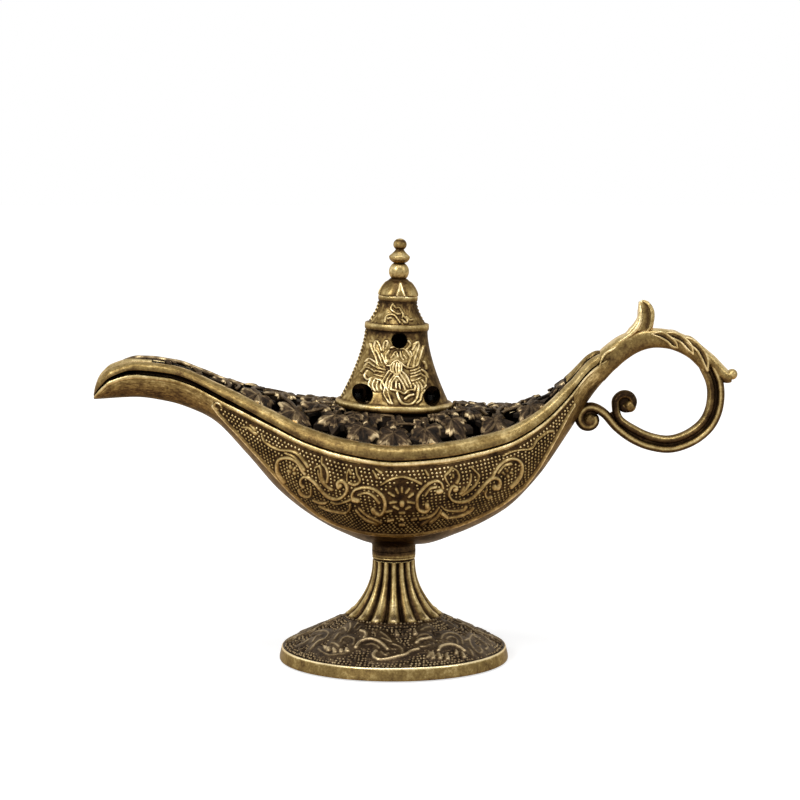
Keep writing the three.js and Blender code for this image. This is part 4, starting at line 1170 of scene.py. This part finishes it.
FOOT_SCROLLS = [
    (0.4, 0.75, strokes("""
        305,632 300,636 296,640 294,644 298,647 303,646 / 309,641 305,644 300,646 / 311,650 316,645 320,642
        325,640 328,637 329,634 326,632 321,632 316,633 / 314,648 318,643 322,641 / 335,640 337,637 339,635
        / 332,644 336,645 339,648 / 319,650 324,654 330,656 337,656 344,655 349,652 / 341,643 343,640
        347,638 351,638 354,640 355,643 353,646 / 341,630 345,629 347,632 / 349,633 351,629 351,624 /
        355,629 358,625 359,623 / 358,631 361,628 / 367,646 372,645 377,647 379,649 / 381,653 385,656
        388,654 / 381,633 386,637 391,641 / 382,639 388,641 392,643 / 393,645 398,647 402,651 402,656 /
        417,639 421,636 427,636 430,638 / 421,631 425,629 429,628 / 441,640 443,636 449,634 456,636 461,640
        462,645 / 446,640 451,638 456,641 457,645 / 420,648 426,647 429,646 / 474,636 471,637 469,641
        470,646 473,650 477,654 480,655 482,652 479,648 / 473,637 478,640 484,644 489,647 / 481,636 486,640
        490,643 / 480,635 486,633 492,634 / 485,645 487,648 485,651 / 497,638 499,643 497,648 494,650 /
        464,642 469,640 / 468,650 471,653 472,657 / 455,622 460,627 466,630 / 447,623 452,626 / 322,636
        317,638 313,643
    """)),
    (0.55, 0.95, strokes("""
        361,632 365,633 367,636 365,639 / 356,648 359,644 364,641 371,640 378,642 384,646 387,650 / 376,652
        374,656 376,659 381,661 388,660 396,658 404,656 411,652 418,650 / 416,644 419,641 425,640 430,639 /
        438,652 440,648 445,646 451,646 458,648 464,652
    """)),
    ((0.5, 0.85), 0.95, strokes("""
        396,633 397,636 / 414,632 415,635 / 432,654 433,659 / 427,659 430,655 / 446,655 447,660 / 455,652
        456,655 / 462,654 464,658 / 438,655 440,659 / 325,648 327,650 / 329,649 329,651 / 334,650 335,653 /
        341,651 342,653 / 347,650 348,652
    """)),
]
# Lines over the joint between the drawn front and its repeat.
# Their points are millimetres off the joint and from the axis.
SIDE_VINE = [
    (0.5, 0.85, [[(0.2, 13.6), (0.9, 15.5), (0.3, 18), (-0.8, 20.3), (-0.4, 22.8), (0.6, 25), (0.1, 27.6)]]),
    ((0.55, 0.35), 0.75, [
        [(0.9, 15.6), (1.9, 16.4), (2.2, 17.8), (1.5, 18.4)],
        [(0.2, 17.8), (-1.0, 17.4), (-2.0, 16.3), (-1.8, 15.3)],
        [(-0.8, 20.2), (-2.1, 20.6), (-2.7, 22.0), (-1.9, 22.8)],
        [(-0.5, 22.3), (0.9, 22.0), (1.9, 20.9), (1.6, 19.9)],
        [(0.5, 24.8), (1.9, 24.8), (2.7, 25.9), (2.0, 26.9)],
        [(0.4, 25.4), (-0.9, 25.3), (-2.0, 25.9), (-2.1, 27.0)],
    ]),
]
JOINT_GAP = 2.3  # left clear of drawn lines on each side of the joint
CONE_SLOPE = np.arctan2(SHOULDER_HEIGHT - RIM_TOP, CONE_EDGE_RADIUS - SHOULDER_RADIUS)
# Outline of the hollow underside
HOLLOW = [(26.6, 1.9), (12.3, 7.7), (11.0, 8.6), (9.0, 11.2), (6.9, 14.5), (5.0, 18.0), (4.6, 19.3)]
FLUTES = 16
GRAIN_PITCH = 0.98
GRAIN_ROWS = 0.86
GRAIN_RADIUS = 0.4
GRAIN_RISE = 0.36


def stem_line(z):
    share = ramp(z, SHOULDER_HEIGHT, STEM_HEIGHT)
    return STEM_RADIUS + (SHOULDER_RADIUS - STEM_RADIUS) * (1 - share) ** STEM_FLARE


def unrolled(x, y):
    """A place on the cone, laid flat round the front."""
    r = np.hypot(x, y) / np.cos(CONE_SLOPE)
    angle = np.arctan2(x, -y) * np.cos(CONE_SLOPE)
    return r * np.sin(angle), r * np.cos(angle)


def off_joint(line):
    """Whether a line laid flat keeps clear of the joint."""
    a, b = np.array(line).T
    gap = np.hypot(a, b) * (np.pi / 2 * np.cos(CONE_SLOPE) - np.abs(np.arctan2(a, b)))
    return np.min(gap) > JOINT_GAP


def side_vine(x, y):
    """Height of the vine that covers the joint at each side."""
    angle = np.arctan2(y, x)
    off = np.hypot(x, y) * np.where(np.abs(angle) > np.pi / 2, np.sign(angle) * np.pi - angle, angle)
    return engraved(off, np.hypot(x, y), SIDE_VINE)


def foot_profile():
    rim = np.linspace(0.1, 1, 8)
    edge = np.radians(np.linspace(0, 90, 8))[1:]
    cone = np.linspace(0, 1, 76)[1:-1]
    cone_radius = CONE_EDGE_RADIUS + (SHOULDER_RADIUS - CONE_EDGE_RADIUS) * cone
    stem = np.linspace(SHOULDER_HEIGHT, STEM_HEIGHT, 110)
    return np.concatenate([
        [(FOOT_RADIUS - 0.05, 0.0), (FOOT_RADIUS, 0.15), (FOOT_RADIUS, 0.6)],
        np.stack([FOOT_RADIUS - 0.5 * rim, 0.6 + 2.1 * rim], -1),
        np.stack([FOOT_RADIUS - 1.0 + 0.5 * np.cos(edge), RIM_TOP - 0.6 + 0.6 * np.sin(edge)], -1),
        np.stack([cone_radius, CONE_EDGE_HEIGHT + (SHOULDER_HEIGHT - CONE_EDGE_HEIGHT) * cone], -1),
        np.stack([stem_line(stem), stem], -1),
        [(SCREW_HOLE, STEM_HEIGHT)],
    ])


def foot_drawing(sheet, on_cone, flat_u, flat_v):
    """Lines on the cone laid flat: those drawn in the main view, and small curls between them."""
    visible = on_cone & (sheet[..., 1] < 3)
    seen = np.stack(project(*sheet[visible].T), -1)
    laid = np.stack([flat_u[visible], flat_v[visible]], -1)
    drawn = []
    for width, rise, group in FOOT_SCROLLS:
        found = [[tuple(laid[np.argmin(np.sum((seen - p) ** 2, 1))]) for p in line] for line in group]
        drawn.append((width, rise, [line for line in found if off_joint(line)]))
    chance = np.random.default_rng(11)
    curls = []
    taken = [(0.9, 1.0, group) for _, _, group in drawn] + [(0.8, 1.0, curls)]
    for _ in range(170):
        r, turn = chance.uniform(14.2, 27.4), chance.uniform(-1.6, 1.6)
        heart = unrolled(r * np.sin(turn), -r * np.cos(turn))
        radius, start = chance.uniform(0.7, 1.5), chance.uniform(0, 360)
        line = curl(heart, radius, start, chance.choice([-1, 1]) * chance.uniform(120, 250), 0.5, 7)
        if engraved(*line.T, taken).max() < 0.3 and off_joint(line):
            curls.append(line)
    return drawn + [((0.42, 0.3), 0.6, curls)]


def foot_grains(relief, drawn):
    """Grainy ground between the lines."""
    chance = np.random.default_rng(3)
    places = []
    for ring, r in enumerate(np.arange(SHOULDER_RADIUS - 1.0, 27.9, GRAIN_ROWS)):
        count = int(2 * np.pi * r / GRAIN_PITCH)
        turn = 2 * np.pi * (np.arange(count) + 0.5 * (ring % 2) + chance.uniform(-0.22, 0.22, count)) / count
        r = r + chance.uniform(-0.16, 0.16, count)
        up = (CONE_EDGE_RADIUS - r) / (CONE_EDGE_RADIUS - SHOULDER_RADIUS)
        on_stem = 1 - ramp(r, STEM_RADIUS, SHOULDER_RADIUS) ** (1 / STEM_FLARE)
        z = np.where(
            r < SHOULDER_RADIUS,
            SHOULDER_HEIGHT + (STEM_HEIGHT - SHOULDER_HEIGHT) * on_stem,
            CONE_EDGE_HEIGHT + (SHOULDER_HEIGHT - CONE_EDGE_HEIGHT) * up,
        )
        places.append(np.stack([r * np.cos(turn), r * np.sin(turn), z], -1))
    places = np.concatenate(places)
    front = repeated_front(places)
    height = engraved(*unrolled(front[:, 0], front[:, 1]), drawn) + side_vine(places[:, 0], places[:, 1])
    places = places[height < 0.05]
    r = np.hypot(places[:, 0], places[:, 1])[:, None]
    outward = np.concatenate([places[:, :2] / r * np.sin(CONE_SLOPE), 0 * r + np.cos(CONE_SLOPE)], 1)
    dots(relief, places - 0.05 * outward, outward, GRAIN_RADIUS, GRAIN_RISE, 0.6)


def foot_piece():
    piece = Piece()
    profile = foot_profile()
    sheet = lathe(profile, 448)
    x, y, level = np.moveaxis(sheet, -1, 0)
    axis = sheet * [0, 0, 1]
    # Flutes between ridges that end in rounded bulbs
    up = (level - SHOULDER_HEIGHT) / (STEM_HEIGHT - SHOULDER_HEIGHT)
    depth = 0.95 * np.sqrt(np.hypot(x, y) / STEM_RADIUS) * ramp(up, 0.05, 0.1) * ramp(up, 1, 0.985)
    groove = 1 - np.abs(np.cos(FLUTES / 2 * np.arctan2(y, x))) ** 0.8
    bulb = 0.35 * hump(up, 0.1, 0.05) * (1 - groove)
    # The drawn front of the cone is repeated on the back, over low leafy swells
    on_cone = (level > RIM_TOP - 0.05) & (up < 0.045)
    front = repeated_front(sheet)
    flat_u, flat_v = unrolled(front[..., 0], front[..., 1])
    drawn = foot_drawing(sheet, on_cone, flat_u, flat_v)
    swells = engraved(flat_u, flat_v, [(2.0, 0.55, group) for _, _, group in drawn[:2]]) * on_cone
    scrolls = np.maximum(engraved(flat_u, flat_v, drawn), side_vine(x, y)) * on_cone
    height = bulb - depth * groove + np.where(on_cone, np.maximum(scrolls, smooth(swells, 3)) - 0.15, 0)
    ribs = 0.68 + 0.5 * bulb - 1.3 * groove * np.clip(depth, 0, 1) - 0.7 * ramp(up, 0.085, 0.055)
    wear = np.where(on_cone, 0.16 + 1.25 * np.clip(scrolls - 0.4, 0, 1) + 0.24 * swells, ribs)
    # The rim's face, with a painted highlight along its top edge
    wear = np.where(level < RIM_TOP - 0.05, 0.43 + 0.6 * hump(level, 3.12, 0.3), wear)
    sheet = sheet + normals(sheet, axis, wrap=True) * height[..., None]
    last = np.argmax(profile[:, 1] > SHOULDER_HEIGHT + 0.7)
    first = np.argmax(profile[:, 1] > CONE_EDGE_HEIGHT)
    for rows in (slice(0, first + 1), slice(last - 1, None)):
        piece.grid(sheet[rows], wear[rows], axis[rows], wrap=True)
    relief = Piece()
    relief.grid(sheet[first:last], wear[first:last], axis[first:last], wrap=True)
    foot_grains(relief, drawn)
    relief.build("foot_relief", "base", "dark_brass")
    # The hollow underside
    land = [(FOOT_RADIUS - 0.05, 0.0), (26.6, 0.0), HOLLOW[0]]
    under = lathe(np.concatenate([land, spline(HOLLOW, 40), [HOLLOW[-1], (2.3, 19.3)]]), 96)
    piece.grid(under, 0.18, under * [3, 3, 0] + [0, 0, 8], wrap=True)
    piece.build("foot_cone", "base", "antique_brass", "foot")


# Neck collar: its outline, and its wear with painted highlights on its beads and painted shade in the groove
# and towards its top, by the height over the stem's top

COLLAR = [
    (SCREW_HOLE, 0.02), (5.0, 0.02), (5.1, 0.12), (5.12, 0.4), (5.45, 0.52), (5.58, 0.75), (5.5, 1.0),
    (5.6, 1.25), (5.6, 1.6), (5.62, 2.1), (5.6, 2.4), (5.35, 2.58), (SCREW_HOLE, 2.58),
]
COLLAR_WEAR_AND_HIGHLIGHTS = [
    (0, 0.0), (0.42, 0.0), (0.6, 0.7), (0.85, 0.62), (1.0, 0.25), (1.2, 0.52), (1.5, 0.4), (1.9, 0.15),
    (2.6, 0.0),
]


def collar_piece():
    piece = Piece()
    sheet = lathe(spline(COLLAR, 100) + [0, STEM_HEIGHT], 96)
    wear = np.interp(sheet[..., 2] - STEM_HEIGHT, *np.array(COLLAR_WEAR_AND_HIGHLIGHTS).T)
    piece.grid(sheet, wear, sheet * [0, 0, 1], wrap=True)
    piece.build("collar_ring", "base", "antique_brass", "neck_collar")


# Handle: an arm that splits into two ridges round the ring, with volutes and leaves.
# Its lines are (x, z) points from the handle's root.

ARM = [(-6, -7.2), (-3, -3.3), (0, 0.5), (4, 3.7), (8, 5.4), (12, 5.9), (16.8, 5.2), (21.6, 2.8), (25.4, -1)]
RING = [
    (24.9, -0.2), (27.1, -5), (27.6, -9.3), (26.8, -13.6), (24.7, -17.1), (20.8, -20), (16, -21.5),
    (11.1, -20.9), (6.8, -19.1),
]
THUMB = [(-1, 0.5), (3.6, 3.9), (7.0, 6.5), (8.9, 9.2), (9.4, 11.6), (9.15, 13.6), (8.8, 15.0), (8.7, 15.6)]
THUMB_FRONT = [(7.8, 15.2), (7.95, 12.9), (7.9, 10.8), (7.0, 8.7), (5.2, 6.9), (2.9, 5.4), (0.9, 4.2)]
THUMB_BACK = [(8.5, 15.5), (10.1, 14.5), (10.85, 12.8), (10.85, 10.8), (10.4, 8.9), (9.4, 7.6)]
LEAF_TIP = [(18, 5.6), (21.7, 4.0), (26, 0.2), (28.8, -2.9), (30.3, -4.1), (31.4, -4.0)]
ACANTHUS = [
    [(10.6, 7.2), (13.0, 7.0), (15.0, 5.9), (16.4, 4.6), (17.4, 3.6)],
    [(13.6, 7.4), (16.3, 6.8), (18.6, 5.6), (20.3, 3.8), (21.5, 1.9)],
    [(18.0, 6.4), (20.7, 5.2), (22.9, 3.3), (24.4, 0.7), (25.1, -2.4)],
]
LIP = [
    (-5.9, -4.1), (-4.6, -2.9), (-3.4, -1.8), (-2.6, -0.6), (-2.1, 0.7), (-1.6, 1.7), (-0.8, 2.5), (0.4, 3.1),
    (1.7, 3.9),
]
# Across, up, radius, half length and wear of the balls in the volutes and at the leaf's tip. The two with
# wear 0 are flat dark discs, painted shade that fills the gaps behind the volutes.
BALLS = [
    (4.6, -10.9, 2.5, 0.9, 0.0), (5.5, -11.6, 1.7, 2.2, 0.42), (-5.0, -13.6, 2.3, 0.9, 0.0),
    (-4.7, -15.3, 2.0, 2.1, 0.3),
]
TIP_BALL = (31.7, -3.45, 1.4, 1.7, 0.62)


def along_share(values, share):
    """Values given at even steps along a line, read at shares of its length."""
    return np.interp(share, np.linspace(0, 1, np.size(values)), np.ravel(values))


def sweep(piece, line, thickness, width, steps, sides, wear, square=1.0, aside=0.0, hollow=0.0):
    """A bar along a line in the XZ plane, or beside it, closed to a point at both ends.

    Its wear is one number, or a function of the cosine and sine round it and the share along it.
    """
    middle = spline(line, steps)
    share = np.linspace(0, 1, steps)[:, None]
    along = unit(np.gradient(middle, axis=0))
    cos, sin = np.cos(full_turn(sides)), np.sin(full_turn(sides))
    t = along_share(thickness, share) * np.sign(cos) * np.abs(cos) ** square
    w = along_share(width, share) * np.sign(sin) * np.abs(sin) ** square * (1 - hollow * sin**2)
    x, z = TAIL_REACH + middle[:, :1], ROOT_LEVEL + middle[:, 1:]
    y = along_share(aside, share)
    grid = np.stack([x - along[:, 1:] * t, y + w, z + along[:, :1] * t], -1)
    centre = np.stack([x, y, z], -1)
    values = np.broadcast_to(wear(cos, sin, share) if callable(wear) else wear, (steps, sides))
    ends = centre[[0, -1]] + 0 * grid[:1]
    grid = np.concatenate([ends[:1], grid, ends[1:]])
    doubled = np.clip(np.arange(-1, steps + 1), 0, steps - 1)
    piece.grid(grid, values[doubled], centre[doubled], wrap=True)


def ball(piece, x, z, radius, half, wear):
    turn = np.radians(np.linspace(-89, 89, 24))
    sheet = lathe(np.stack([radius * np.cos(turn), half * np.sin(turn)], -1), 32)
    middle = np.array([TAIL_REACH + x, 0, ROOT_LEVEL + z])
    piece.grid(middle + sheet[..., [0, 2, 1]], wear, middle, wrap=True)


def beside(line, distance):
    """A line's points, moved sideways."""
    fine = spline(line, 8 * (len(line) - 1) + 1)
    along = unit(np.gradient(fine, axis=0))
    return (fine + distance * np.stack([along[:, 1], -along[:, 0]], -1))[::8]


def ring_ridges(piece):
    """Two ridges with a web in the groove between them. Each ends in a volute. Each ridge carries a painted
    highlight line, and the web is painted black as shade.
    """
    # Painted highlight: a bright line round each ridge at the given place across it, on a dark ground that is
    # darker along the second half of the ridge
    def ridge_highlight(crest):
        return lambda cos, sin, share: (
            0.18 - 0.12 * ramp(share, 0.45, 0.65) + 0.55 * hump(cos, crest, 0.28) * np.abs(sin)
        )

    inner_volute = curl((4.5, -10.8), 2.6, 185, -330, 0.5, 9)
    outer_volute = curl((-4.8, -14.9), 3.1, 65, 320, 0.42, 9)
    inner = np.concatenate([beside(RING, 1.2), [(2.9, -15.0)], inner_volute])
    outer = np.concatenate([beside(RING, -1.2), [(2.3, -17.2), (-0.8, -13.7)], outer_volute])
    inner_thickness, inner_width = [1.05, 1.05, 1.05, 1.05, 1.05, 1.0], [2.0, 2.0, 1.95, 1.9, 1.8, 1.7]
    outer_thickness, outer_width = [1.05, 1.05, 1.05, 1.25, 1.3, 1.1], [2.0, 2.0, 1.95, 1.9, 1.9, 1.8]
    sweep(piece, inner, inner_thickness, inner_width, 280, 32, ridge_highlight(-0.55), 0.9)
    sweep(piece, outer, outer_thickness, outer_width, 280, 32, ridge_highlight(-0.1), 0.9)
    # The web in the groove is painted black, as shade
    web = [*RING, (2.6, -16.0), (0.8, -13.3)]
    sweep(piece, web, [1.1, 1.1, 1.1, 1.0, 0.6], [0.9, 0.9, 0.9, 0.9, 0.8], 140, 20, 0.0)
    for volute_ball in BALLS:
        ball(piece, *volute_ball)


def thumb_leaf(piece):
    """A leaf with a hollow cheek on each side between rims, with painted highlights on its edges and rims and
    a painted shade line down each cheek.
    """
    def cheek_highlights_and_shade(cos, sin, share):
        return 0.56 + 0.36 * np.abs(cos) ** 1.5 - 0.3 * hump(cos, -0.15, 0.2)

    thickness = [1.2, 1.8, 2.6, 2.4, 2.05, 1.75, 1.3, 0.5]
    width = [2.6, 2.8, 2.9, 2.7, 2.5, 2.0, 1.3, 0.5]
    sweep(piece, THUMB, thickness, width, 110, 44, cheek_highlights_and_shade, 0.6, hollow=0.4)
    for way in (-1, 1):
        aside = way * np.array([0.6, 1.8, 2.2, 2.4, 2.5, 2.5, 2.3])
        thickness = [0.2, 0.5, 0.6, 0.65, 0.6, 0.5, 0.2]
        sweep(piece, THUMB_FRONT, thickness, [0.2, 0.5, 0.6, 0.7, 0.8, 0.8, 0.4], 90, 16, 0.74, aside=aside)
        aside = way * np.array([0.6, 1.5, 2.0, 2.2, 2.2, 2.1])
        thickness = [0.2, 0.5, 0.6, 0.6, 0.5, 0.2]
        sweep(piece, THUMB_BACK, thickness, [0.2, 0.5, 0.6, 0.6, 0.5, 0.3], 70, 16, 0.64, aside=aside)


def acanthus(piece):
    """Lobes that drape over the crown of the ring, with painted highlights along their rims and painted shade
    down the middle where each lobe folds.
    """
    def fold_shade(cos, sin, share):
        return 0.46 - 0.46 * hump(cos, -0.35, 0.4)

    for lobe in ACANTHUS:
        for way in (-1, 1):
            thickness = [0.2, 0.85, 1.15, 1.1, 0.5]
            sweep(piece, lobe, thickness, [0.2, 0.6, 0.75, 0.7, 0.4], 60, 24, fold_shade, aside=way * 2.55)
            for side in (-0.7, 0.7):
                rim = beside(lobe, side)
                rim[[0, -1]] = np.array(lobe)[[0, -1]]
                thickness = [0.1, 0.34, 0.4, 0.4, 0.25]
                sweep(piece, rim, thickness, [0.1, 0.5, 0.6, 0.55, 0.3], 60, 14, 0.75, aside=way * 2.9)


def painted_top_highlight(brightness, power):
    """Wear of a bar, with a painted highlight along its top."""
    return lambda cos, sin, share: 0.4 + brightness * np.clip(cos, 0, 1) ** power


def handle_piece():
    piece = Piece()
    thickness = [1.4, 2.6, 3.1, 3.05, 2.75, 2.5, 2.4, 2.3, 2.1]
    width = [3.4, 4.1, 4.2, 3.6, 3.1, 2.9, 2.75, 2.6, 2.4]
    sweep(piece, ARM, thickness, width, 180, 48, painted_top_highlight(0.46, 3), 0.7)
    ring_ridges(piece)
    thumb_leaf(piece)
    # Curled leaf tip at the back of the ring
    thickness, width = [0.6, 1.2, 1.6, 1.75, 1.65, 1.4], [1.8, 2.1, 2.2, 2.1, 1.9, 1.7]
    sweep(piece, LEAF_TIP, thickness, width, 100, 28, painted_top_highlight(0.5, 2))
    ball(piece, *TIP_BALL)
    acanthus(piece)
    # The lip that wraps round the end of the lid
    thickness = [0.3, 0.45, 0.45, 0.42, 0.4, 0.4, 0.4, 0.4, 0.2]
    width = [0.3, 0.5, 0.5, 0.5, 0.5, 0.5, 0.5, 0.5, 0.3]
    for way in (-1, 1):
        aside = way * np.array([4.35, 4.35, 4.35, 4.35, 4.3, 4.2, 4.0, 3.8, 3.4])
        sweep(piece, LIP, thickness, width, 80, 14, 0.72, aside=aside)
    piece.build("handle_ring", "base", "antique_brass", "handle")


bowl_piece()
band_piece()
lid_piece()
chimney_piece()
finial_piece()
foot_piece()
collar_piece()
handle_piece()

# The fasteners and the dish keep their solids
for node, slot in (
    ("foot_screw", "steel"), ("foot_washer", "steel"), ("chimney_screw_1", "steel"),
    ("chimney_screw_2", "steel"), ("finial_nut", "steel"), ("cone_dish", "dark_brass"),
):
    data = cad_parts[node].data
    data.materials.clear()
    data.materials.append(MATERIALS[slot])

# Floor, light and camera, in metres

FLOOR_HALF = 2.5
FLOOR_LEVEL = -0.0004
WORLD_GREY = 0.18
centre = Vector((AXIS_X + AIM[0] / 1000, 0, AIM[2] / 1000))


def floor_material(name, grey, near_glow, far_glow):
    """White for the camera, more so further out, with the object's shadow kept, and plain for the light."""
    material = bpy.data.materials.new(name)
    graph = Graph(material)
    place = graph.add("TexCoord").outputs["Object"]
    away = graph.add("VectorMath", place, operation="LENGTH").outputs["Value"]
    glow = graph.add("MapRange", Value=away, From_Min=0.04, From_Max=0.4, To_Min=near_glow, To_Max=far_glow)
    strength = graph.math("MULTIPLY", graph.background_ray(), glow.outputs[0])
    shader = graph.nodes["Principled BSDF"]
    graph.set(shader, Base_Color=(grey, grey, grey, 1), Roughness=0.9, Specular_IOR_Level=0.0)
    graph.set(shader, Emission_Color=(1, 1, 1, 1), Emission_Strength=strength)
    return material


floor_mesh = bpy.data.meshes.new("floor")
corners = [(x * FLOOR_HALF, y * FLOOR_HALF, FLOOR_LEVEL) for x, y in ((-1, -1), (1, -1), (1, 1), (-1, 1))]
floor_mesh.from_pydata(corners, [], [(0, 1, 2, 3)])
floor = bpy.data.objects.new("floor", floor_mesh)
floor_mesh.materials.append(floor_material("white_floor", grey=0.64, near_glow=0.7, far_glow=0.95))
bpy.context.scene.collection.objects.link(floor)


def look_at_centre(obj, place):
    obj.location = place
    obj.rotation_euler = (centre - Vector(place)).to_track_quat("-Z", "Y").to_euler()
    bpy.context.scene.collection.objects.link(obj)


def softbox(name, azimuth, elevation, distance, size, power):
    light = bpy.data.lights.new(name, "AREA")
    light.shape = "RECTANGLE"
    light.size, light.size_y = size
    light.energy = power
    a, e = np.radians(azimuth), np.radians(elevation)
    away = Vector((np.sin(a) * np.cos(e), -np.cos(a) * np.cos(e), np.sin(e)))
    look_at_centre(bpy.data.objects.new(name, light), centre + distance * away)


softbox("front_softbox", azimuth=-6, elevation=14, distance=1.15, size=(2.0, 1.2), power=1.2)
softbox("left_softbox", azimuth=-40, elevation=34, distance=0.9, size=(0.3, 0.5), power=3.6)
softbox("right_softbox", azimuth=62, elevation=30, distance=0.95, size=(0.25, 0.5), power=1.6)
softbox("side_softbox", azimuth=-105, elevation=18, distance=0.9, size=(0.5, 0.6), power=0.8)
softbox("top_softbox", azimuth=10, elevation=74, distance=0.9, size=(0.6, 0.35), power=3.0)

world = bpy.data.worlds.new("world")
bpy.context.scene.world = world
graph = Graph(world)
sky = graph.add("Mix", data_type="RGBA", A=(WORLD_GREY, WORLD_GREY, WORLD_GREY, 1), B=(1, 1, 1, 1))
graph.set(sky, Factor=graph.background_ray())
graph.set(graph.nodes["Background"], Color=sky.outputs["Result"])

camera = bpy.data.cameras.new("camera")
camera.sensor_width = 36
camera.lens = FOCAL / VIEW_SIZE * camera.sensor_width
camera.clip_start, camera.clip_end = 0.05, 20
camera_object = bpy.data.objects.new("camera", camera)
look_at_centre(camera_object, centre + DISTANCE / 1000 * Vector((0, -np.cos(PITCH), np.sin(PITCH))))
bpy.context.scene.camera = camera_object
bpy.context.scene.view_settings.view_transform = "Standard"
